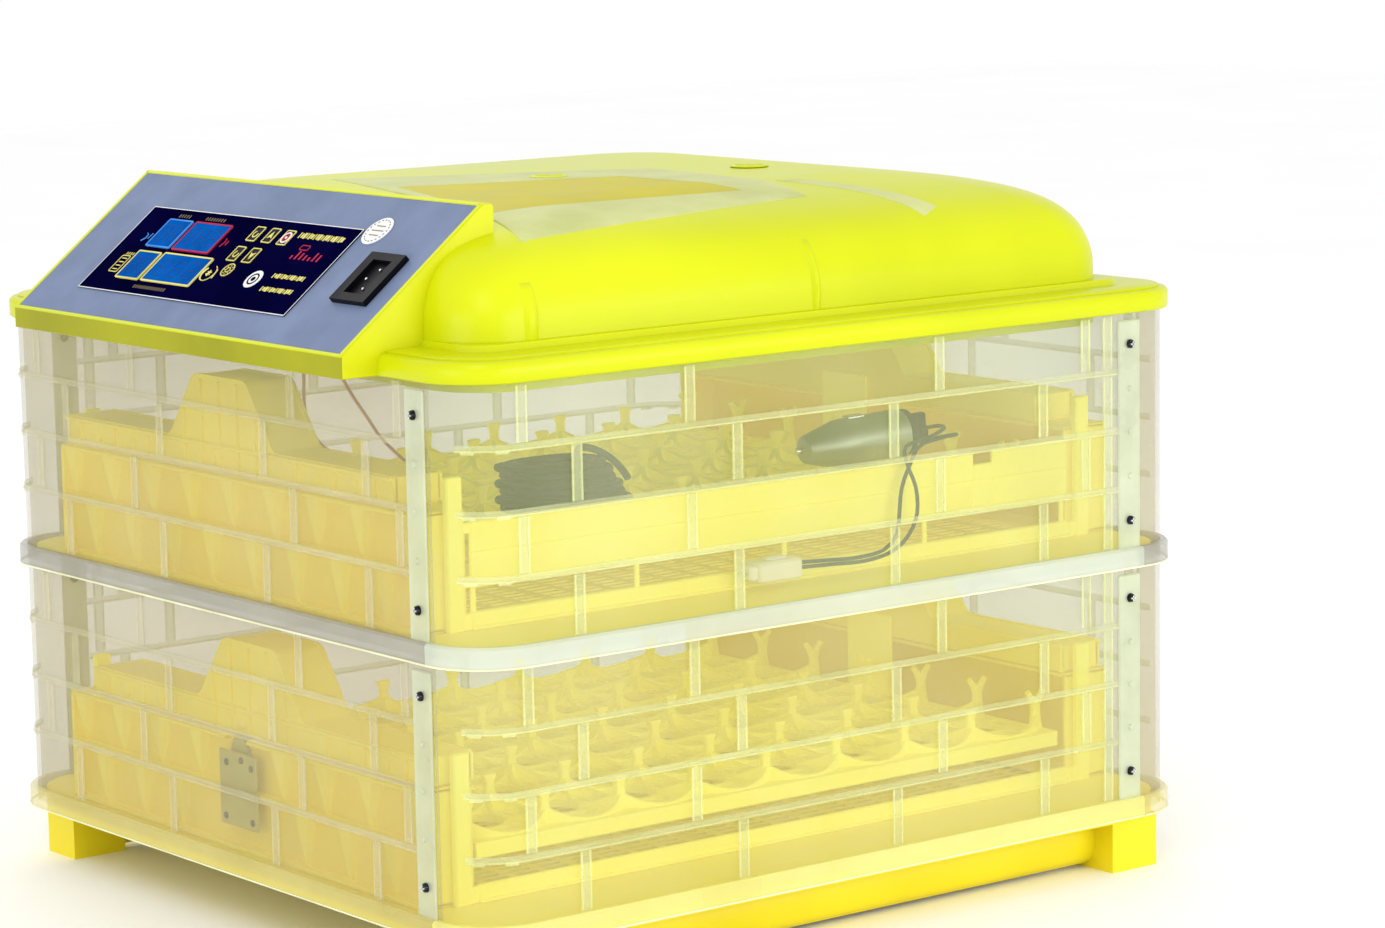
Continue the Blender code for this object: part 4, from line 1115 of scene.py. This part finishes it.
def dome_patch(shape, corners, across=14, along=14, lift=0.0007):
    """A thin sheet with four corners that follows the dome's surface."""
    a, b, c, d = corners
    top_side = []
    for i in range(across + 1):
        u = i / across
        for j in range(along + 1):
            v = j / along
            x = (1 - u) * ((1 - v) * a[0] + v * d[0]) + u * ((1 - v) * b[0] + v * c[0])
            y = (1 - u) * ((1 - v) * a[1] + v * d[1]) + u * ((1 - v) * b[1] + v * c[1])
            edge = min(u, 1 - u, v, 1 - v)
            top_side.append((x, y, dome_height(x, y) + (lift if edge > 0 else lift * 0.3)))
    low_side = [(x, y, z - PATCH_T) for x, y, z in top_side]
    row = along + 1
    corners = [i * row + j for i in range(across) for j in range(along)]
    shape.thicken(top_side, low_side, [[p, p + row, p + row + 1, p + 1] for p in corners])


shape = Shape(shifted(z=LID_Z))
P = ((-0.116, 0.077), (0.047, -0.004), (0.036, -0.16), (-0.172, -0.184))
Q = ((-0.123, 0.002), (0.002, -0.036), (0.008, -0.138), (-0.158, -0.134))
for i in range(4):
    j = (i + 1) % 4
    dome_patch(shape, (P[i], P[j], Q[j], Q[i]), 18, 10)
dome_patch(shape, ((0.047, -0.12), (0.06, -0.12), (0.106, -0.186), (0.092, -0.192)), 6, 14)
shape.piece("lid_window_band", BAND, "lid", 50.0, replaces=["lid_window"])
shape = Shape(shifted(z=LID_Z))
dome_patch(shape, Q, 18, 18, 0.0002)
shape.piece("lid_window_island", ISLAND, "lid", 50.0)

for cap in ("vent_cap_1", "vent_cap_2"):
    low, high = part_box(cap)
    mid = (low + high) / 2
    z = high.z - 0.0016
    shape = Shape()
    shape.lathe([(low.z, 0.0028), (z, 0.0028), (z + 0.0001, 0.0104), (z + 0.0004, 0.011), (z + 0.0009, 0.011),
                 (z + 0.0012, 0.0104), (z + 0.0013, 0.008)], (mid.x, mid.y, 0), "Z", 40)
    for k in range(3):
        shape.place = Matrix.Translation((mid.x, mid.y, 0)) @ Matrix.Rotation(pi / 3 * k, 4, "Z")
        shape.box((-0.0084, -0.0008, z + 0.001), (0.0084, 0.0008, z + 0.0016), 0.0002)
    shape.piece(cap + "_knob", LEMON, cap, replaces=[cap], slot="vent_yellow")

# ---- control face
KEY_Y, KEY_S, KEY_R = 0.0046, 0.0058, 0.0052
INLET_Y, INLET_S = -0.134, 0.0515
carry("control_plate", PLATE)
carry("control_label", NAVY)


def outline_frame(shape, y, s, half_y, half_s, width, low, high, radius=0.0012):
    """A thin raised frame with rounded corners, drawn on the control face."""
    rings = []
    for grow, z in ((0.0, low), (0.0, high), (-width, high), (-width, low)):
        r = max(radius + grow, 0.0003)
        rings.append([(a, b, z) for a, b in rounded(half_s + grow, half_y + grow, r, 5, s, y)])
    shape.loft(rings, closed=True)


SCREENS = (("screen_humidity", 0.0812, 0.0663, 0.0118, 0.0103, INK_BLUE, 2),
           ("screen_temperature", 0.0468, 0.0661, 0.0183, 0.0106, INK_RED, 3),
           ("screen_days", 0.082, 0.0408, 0.0114, 0.0102, INK_YELLOW, 2),
           ("screen_timer", 0.0422, 0.0412, 0.0245, 0.0104, INK_YELLOW, 3))
SEGMENTS = ((0, 1, 0), (0, 0, 0), (0, -1, 0), (-1, 0.5, 1), (1, 0.5, 1), (-1, -0.5, 1), (1, -0.5, 1))
for name, y, s, wide, tall, ink, digits in SCREENS:
    shape = on_slope()
    shape.prism(rounded(tall, wide, 0.0012, 4, s, y), 0.001, 0.0015, 0.00015)
    shape.piece(name + "_glass", LCD, "lid", replaces=[name])
    shape = on_slope()
    outline_frame(shape, y, s, wide + 0.0007, tall + 0.0007, 0.001, 0.0009, 0.0017)
    shape.piece(name + "_frame", ink, "lid", slot="screen_blue")
    shape = on_slope()
    pitch = 2 * wide / (digits + 0.35)
    for k in range(digits):
        centre = y + wide - pitch * (k + 0.68)
        for du, dv, upright in SEGMENTS:
            cs = s + dv * 0.0058
            cy = centre - du * pitch * 0.3
            if upright:
                shape.box((cs - 0.0022, cy - 0.0005, 0.00145), (cs + 0.0022, cy + 0.0005, 0.0016))
            else:
                shape.box((cs - 0.0005, cy - pitch * 0.24, 0.00145), (cs + 0.0005, cy + pitch * 0.24, 0.0016))
    shape.piece(name + "_digits", LCD_DARK, "lid")

# the label's outline and its small generic marks
LOW, HIGH = 0.0006, 0.001


def stroke(shape, points, radius=0.0005, height=0.0008):
    """A flat printed line; points are (up the slope, along it)."""
    shape.rod([(s, y, height) for s, y in points], radius, 6, 0.5)


shape = on_slope()
outline_frame(shape, 0.016, 0.0529, 0.1057, 0.0329, 0.0005, LOW, 0.0009, 0.0006)
shape.piece("label_outline", INK_WHITE, "lid")
yellow = on_slope()
outline_frame(yellow, 0.1025, 0.0405, 0.0045, 0.0066, 0.0006, LOW, HIGH)
for k in range(4):
    yellow.box((0.036 + 0.0028 * k, 0.1, LOW), (0.0366 + 0.0028 * k, 0.1048, HIGH))
for k in range(4):
    yellow.box((0.0476, 0.0975 + 0.0022 * k, LOW), (0.0496, 0.0981 + 0.0022 * k, HIGH))
# a star inside an open ring
STAR_S, STAR_Y = 0.0419, 0.0106


def on_circle(s, y, r, a):
    return (s + r * cos(a), y + r * sin(a))


stroke(yellow, [on_circle(STAR_S, STAR_Y, 0.0056, radians(50 + 290 * k / 26)) for k in range(27)], 0.0006)
for k in range(3):
    a = radians(60 * k)
    yellow.box((STAR_S - 0.0003, STAR_Y - 0.0003, LOW), (STAR_S + 0.0003, STAR_Y + 0.0003, HIGH))
    stroke(yellow, [on_circle(STAR_S, STAR_Y, -0.0022, a), on_circle(STAR_S, STAR_Y, 0.0022, a)])
stroke(yellow, [(0.0386, 0.004), (0.0452, 0.0052)])
for s, y0, count, half in ((0.0765, -0.039, 18, 0.0021), (0.0462, -0.049, 13, 0.0017),
                           (0.0362, -0.049, 13, 0.0017)):
    for k in range(count):
        thick = 0.0004 + 0.0003 * (k % 3)
        yellow.box((s - half + 0.0005 * (k % 2), y0 - 0.0024 * k - thick, LOW),
                   (s + half - 0.0005 * (k % 4 == 1), y0 - 0.0024 * k + thick, HIGH))
yellow.piece("label_marks_yellow", INK_YELLOW, "lid")
red = on_slope()
for k in range(7):
    y = -0.049 - 0.0042 * k
    red.box((0.0592, y - 0.0007, LOW), (0.0618 + 0.0012 * (k * 3 % 4), y + 0.0007, HIGH))
outline_frame(red, -0.0535, 0.068, 0.0042, 0.002, 0.0006, LOW, HIGH)
stroke(red, [(0.0615, 0.024), (0.065, 0.0226), (0.068, 0.0236)])
stroke(red, [(0.063, 0.02), (0.0665, 0.02)])
red.piece("label_marks_red", INK_RED, "lid")
blue = on_slope()
stroke(blue, [(0.059, 0.1035), (0.0612, 0.101), (0.064, 0.1012), (0.0652, 0.1034)])
stroke(blue, [(0.061, 0.0985), (0.0655, 0.0978)], 0.0004)
blue.piece("label_marks_blue", INK_BLUE, "lid")
dim = on_slope()
for y0, s, count in ((0.088, 0.0806, 5), (0.06, 0.0806, 8), (0.068, 0.0258, 13)):
    for k in range(count):
        dim.box((s - 0.0012, y0 - 0.0026 * k - 0.0003, LOW), (s + 0.0012, y0 - 0.0026 * k + 0.0003, HIGH))
dim.piece("label_captions", INK_DIM, "lid")
disc = on_slope()
disc.lathe([(LOW, 0.0064), (HIGH, 0.0064)], (0.0419, -0.0342, 0), "Z", 32)
disc.piece("label_disc", INK_WHITE, "lid")
mark = on_slope()
outline_frame(mark, -0.0342, 0.0419, 0.0042, 0.0042, 0.0009, 0.0009, 0.0012, 0.0042)
mark.lathe([(0.0009, 0.0016), (0.0012, 0.0016)], (0.0419, -0.0342, 0), "Z", 20)
mark.piece("label_disc_ring", NAVY, "lid")

# keys: caps with a printed outline and a generic symbol
KEYS = (("button_set", 0.0011, 0.0736), ("button_up", -0.0141, 0.0736), ("button_alarm", -0.0294, 0.0733),
        ("button_reset", 0.0019, 0.0579), ("button_down", -0.0134, 0.0579))
TOP_N = 0.0011
for name, y, s in KEYS:
    shape = on_slope()
    shape.prism(rounded(KEY_S, KEY_Y, 0.0009, 4, s, y), -0.0012, TOP_N, 0.0003)
    shape.piece(name + "_cap", KEY, name, replaces=[name])
    shape = on_slope()
    outline_frame(shape, y, s, KEY_Y - 0.0002, KEY_S - 0.0002, 0.0006, TOP_N - 0.0001, TOP_N + 0.0003, 0.0009)
    if name == "button_up":
        shape.prism([(s + 0.003, y), (s - 0.0022, y + 0.0022), (s - 0.001, y), (s - 0.0022, y - 0.0022)],
                    TOP_N - 0.0001, TOP_N + 0.0003)
    if name == "button_down":
        shape.prism([(s - 0.003, y), (s + 0.0022, y - 0.0022), (s + 0.001, y), (s + 0.0022, y + 0.0022)],
                    TOP_N - 0.0001, TOP_N + 0.0003)
    if name in ("button_set", "button_reset"):
        hook = [(s + 0.0024 * cos(radians(a)), y + 0.002 * sin(radians(a)), TOP_N)
               for a in range(30, 300, 18)]
        shape.rod(hook, 0.0004, 6)
    shape.piece(name + "_print", INK_YELLOW, name, slot="button_dark")
    if name == "button_alarm":
        for radius, inner_radius, ink in ((0.0036, 0.0026, INK_WHITE), (0.0026, 0.0014, INK_RED)):
            ring = on_slope()
            outline_frame(ring, y, s, radius, radius * 1.15, radius - inner_radius, TOP_N - 0.0001,
                          TOP_N + 0.0004, radius)
            ring.piece(f"{name}_ring_{int(radius * 10000)}", ink, name, slot="button_dark")
        dot = on_slope()
        dot.lathe([(TOP_N - 0.0001, 0.0009), (TOP_N + 0.0004, 0.0009)], (s, y, 0), "Z", 16)
        dot.piece(name + "_dot", INK_WHITE, name, slot="button_dark")
LIGHT_Y, LIGHT_S = -0.0045, 0.0457
shape = on_slope()
shape.lathe([(-0.0012, KEY_R), (0.0008, KEY_R), (TOP_N, KEY_R - 0.0003)], (LIGHT_S, LIGHT_Y, 0), "Z", 32)
shape.piece("button_light_cap", KEY, "button_light", replaces=["button_light"])
shape = on_slope()
outline_frame(shape, LIGHT_Y, LIGHT_S, 0.0049, 0.0049, 0.0006, TOP_N - 0.0001, TOP_N + 0.0003, 0.0049)
outline_frame(shape, LIGHT_Y, LIGHT_S, 0.002, 0.002, 0.0005, TOP_N - 0.0001, TOP_N + 0.0003, 0.002)
for k in range(8):
    a = pi / 4 * k
    shape.rod([(LIGHT_S + 0.0027 * cos(a), LIGHT_Y + 0.0027 * sin(a), TOP_N),
               (LIGHT_S + 0.0036 * cos(a), LIGHT_Y + 0.0036 * sin(a), TOP_N)], 0.0003, 6)
shape.piece("button_light_print", INK_YELLOW, "button_light", slot="button_dark")

# round sticker with a plain ring of dashes
shape = on_slope()
STICKER_S, STICKER_Y, STICKER_TOP = 0.0861, -0.101, 0.0005
shape.lathe([(0.0001, 0.01), (STICKER_TOP, 0.01)], (STICKER_S, STICKER_Y, 0), "Z", 48)
shape.piece("sticker_disc", STICKER, "lid", replaces=["round_sticker"])
shape = on_slope()
for k in range(20):
    a = tau * k / 20
    dash = [on_circle(STICKER_S, STICKER_Y, 0.008, a + turned) for turned in (0, 0.14)]
    stroke(shape, dash, 0.0004, STICKER_TOP)
for s, half in ((0.0895, 0.004), (0.0861, 0.0052), (0.0827, 0.004)):
    stroke(shape, [(s, STICKER_Y - half), (s, STICKER_Y + half)], 0.0004, STICKER_TOP)
shape.piece("sticker_dashes", INK_DIM, "lid", slot="white_sticker")

# power inlet: frame with a shaped socket and three pins
carry("power_inlet", BLACK, 0.0006)
shape = on_slope()
shape.box((INLET_S - 0.0121, INLET_Y - 0.0083, 0.0002), (INLET_S + 0.0121, INLET_Y + 0.0083, 0.0008), 0.0001)
shape.piece("inlet_socket_floor", BLACK, "lid")
shape = on_slope()
for ds, dy in ((-0.007, -0.002), (0.007, -0.002), (0.0, 0.0028)):
    shape.box((INLET_S + ds - 0.0008, INLET_Y + dy - 0.0005, 0.0007),
              (INLET_S + ds + 0.0008, INLET_Y + dy + 0.0005, 0.002), 0.0003)
shape.piece("inlet_pin_tips", CHROME, "lid", slot="black_plastic")

# ---- under the lid
shape = Shape(shifted())
shape.box((-0.217, -0.0895, 0.3522), (-0.1655, 0.0895, 0.3534), 0.0003)
shape.piece("circuit_board_panel", GREEN, "lid", replaces=["circuit_board"])
shape = Shape(shifted())
for x, y, dx, dy, dz in ((-0.205, 0.06, 0.008, 0.01, 0.009), (-0.182, 0.04, 0.006, 0.006, 0.005),
                         (-0.2, 0.01, 0.009, 0.012, 0.006), (-0.18, -0.03, 0.005, 0.008, 0.004),
                         (-0.203, -0.065, 0.008, 0.009, 0.01)):
    shape.box((x - dx, y - dy, 0.3523 - dz), (x + dx, y + dy, 0.3524), 0.0006)
for y in (-0.012, -0.0485):
    shape.box((-0.1985, y - 0.0035, 0.3475), (-0.1925, y + 0.0035, 0.3524), 0.0006)
shape.piece("circuit_board_parts", BLACK, "lid", slot="circuit_green")
shape = Shape(shifted())
for x, y in ((-0.176, 0.07), (-0.176, 0.01), (-0.19, -0.078)):
    shape.lathe([(0.34, 0.0036), (0.3408, 0.0044), (0.3523, 0.0044)], (x, y, 0), "Z", 20)
shape.piece("circuit_board_cans", METAL, "lid", slot="circuit_green")
carry("fan_housing", BLACK, 0.0008)
carry("fan_rotor", BLACK, 0.0005)
HEATER_R = 0.06
shape = Shape(shifted())
for k in range(4):
    a = pi / 4 + pi / 2 * k
    shape.rod([(*on_circle(0, 0, 0.0445, a), 0.384), (*on_circle(0, 0, HEATER_R, a), 0.374),
               (*on_circle(0, 0, HEATER_R, a), 0.37)], 0.001, 8)
shape.piece("heater_stays", CHROME, "lid")
coil = Shape(shifted())
rings = []
for k in range(96):
    a = tau * k / 96
    thick = 0.003 if k % 4 < 2 else 0.0024
    ring = []
    for m in range(12):
        r, z = on_circle(HEATER_R, 0.369, thick, tau * m / 12)
        ring.append((r * cos(a), r * sin(a), z))
    rings.append(ring)
coil.loft(rings, closed=True)
coil.piece("heater_coil", COPPER, "lid", replaces=["heater_ring"])

# ---- studio
floor_mesh = bpy.data.meshes.new("floor")
floor_mesh.from_pydata([(-6, -6, 0), (6, -6, 0), (6, 6, 0), (-6, 6, 0)], [], [(0, 1, 2, 3)])
floor_mesh.materials.append(FLOOR)
floor = bpy.data.objects.new("floor", floor_mesh)
scene.collection.objects.link(floor)
floor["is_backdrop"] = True

world = bpy.data.worlds.new("studio")
world.use_nodes = True
world.node_tree.nodes["Background"].inputs["Color"].default_value = (1.0, 1.0, 1.0, 1.0)
world.node_tree.nodes["Background"].inputs["Strength"].default_value = 1.0
scene.world = world


def softbox(name, place, target, size, power):
    light = bpy.data.lights.new(name, "AREA")
    light.shape = "RECTANGLE"
    light.size = size[0]
    light.size_y = size[1]
    light.energy = power
    lamp = bpy.data.objects.new(name, light)
    scene.collection.objects.link(lamp)
    lamp.location = place
    lamp.rotation_euler = (Vector(target) - Vector(place)).to_track_quat("-Z", "Y").to_euler()


softbox("key", (-1.5, -1.6, 1.7), (0.0, 0.0, 0.25), (0.8, 0.8), 9.0)
softbox("front", (0.5, -2.0, 0.45), (0.05, 0.0, 0.18), (1.6, 0.7), 15.0)
softbox("left", (-2.0, -0.5, 0.4), (0.0, 0.0, 0.18), (1.2, 0.6), 7.0)
softbox("rim", (0.4, 1.7, 1.5), (0.0, 0.0, 0.3), (1.4, 0.7), 5.0)

final_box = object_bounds()


def plain(value):
    if hasattr(value, "__len__"):
        return [plain(v) for v in value]
    return float(value)


{"cad": plain(cad_box), "visual": plain(final_box)}
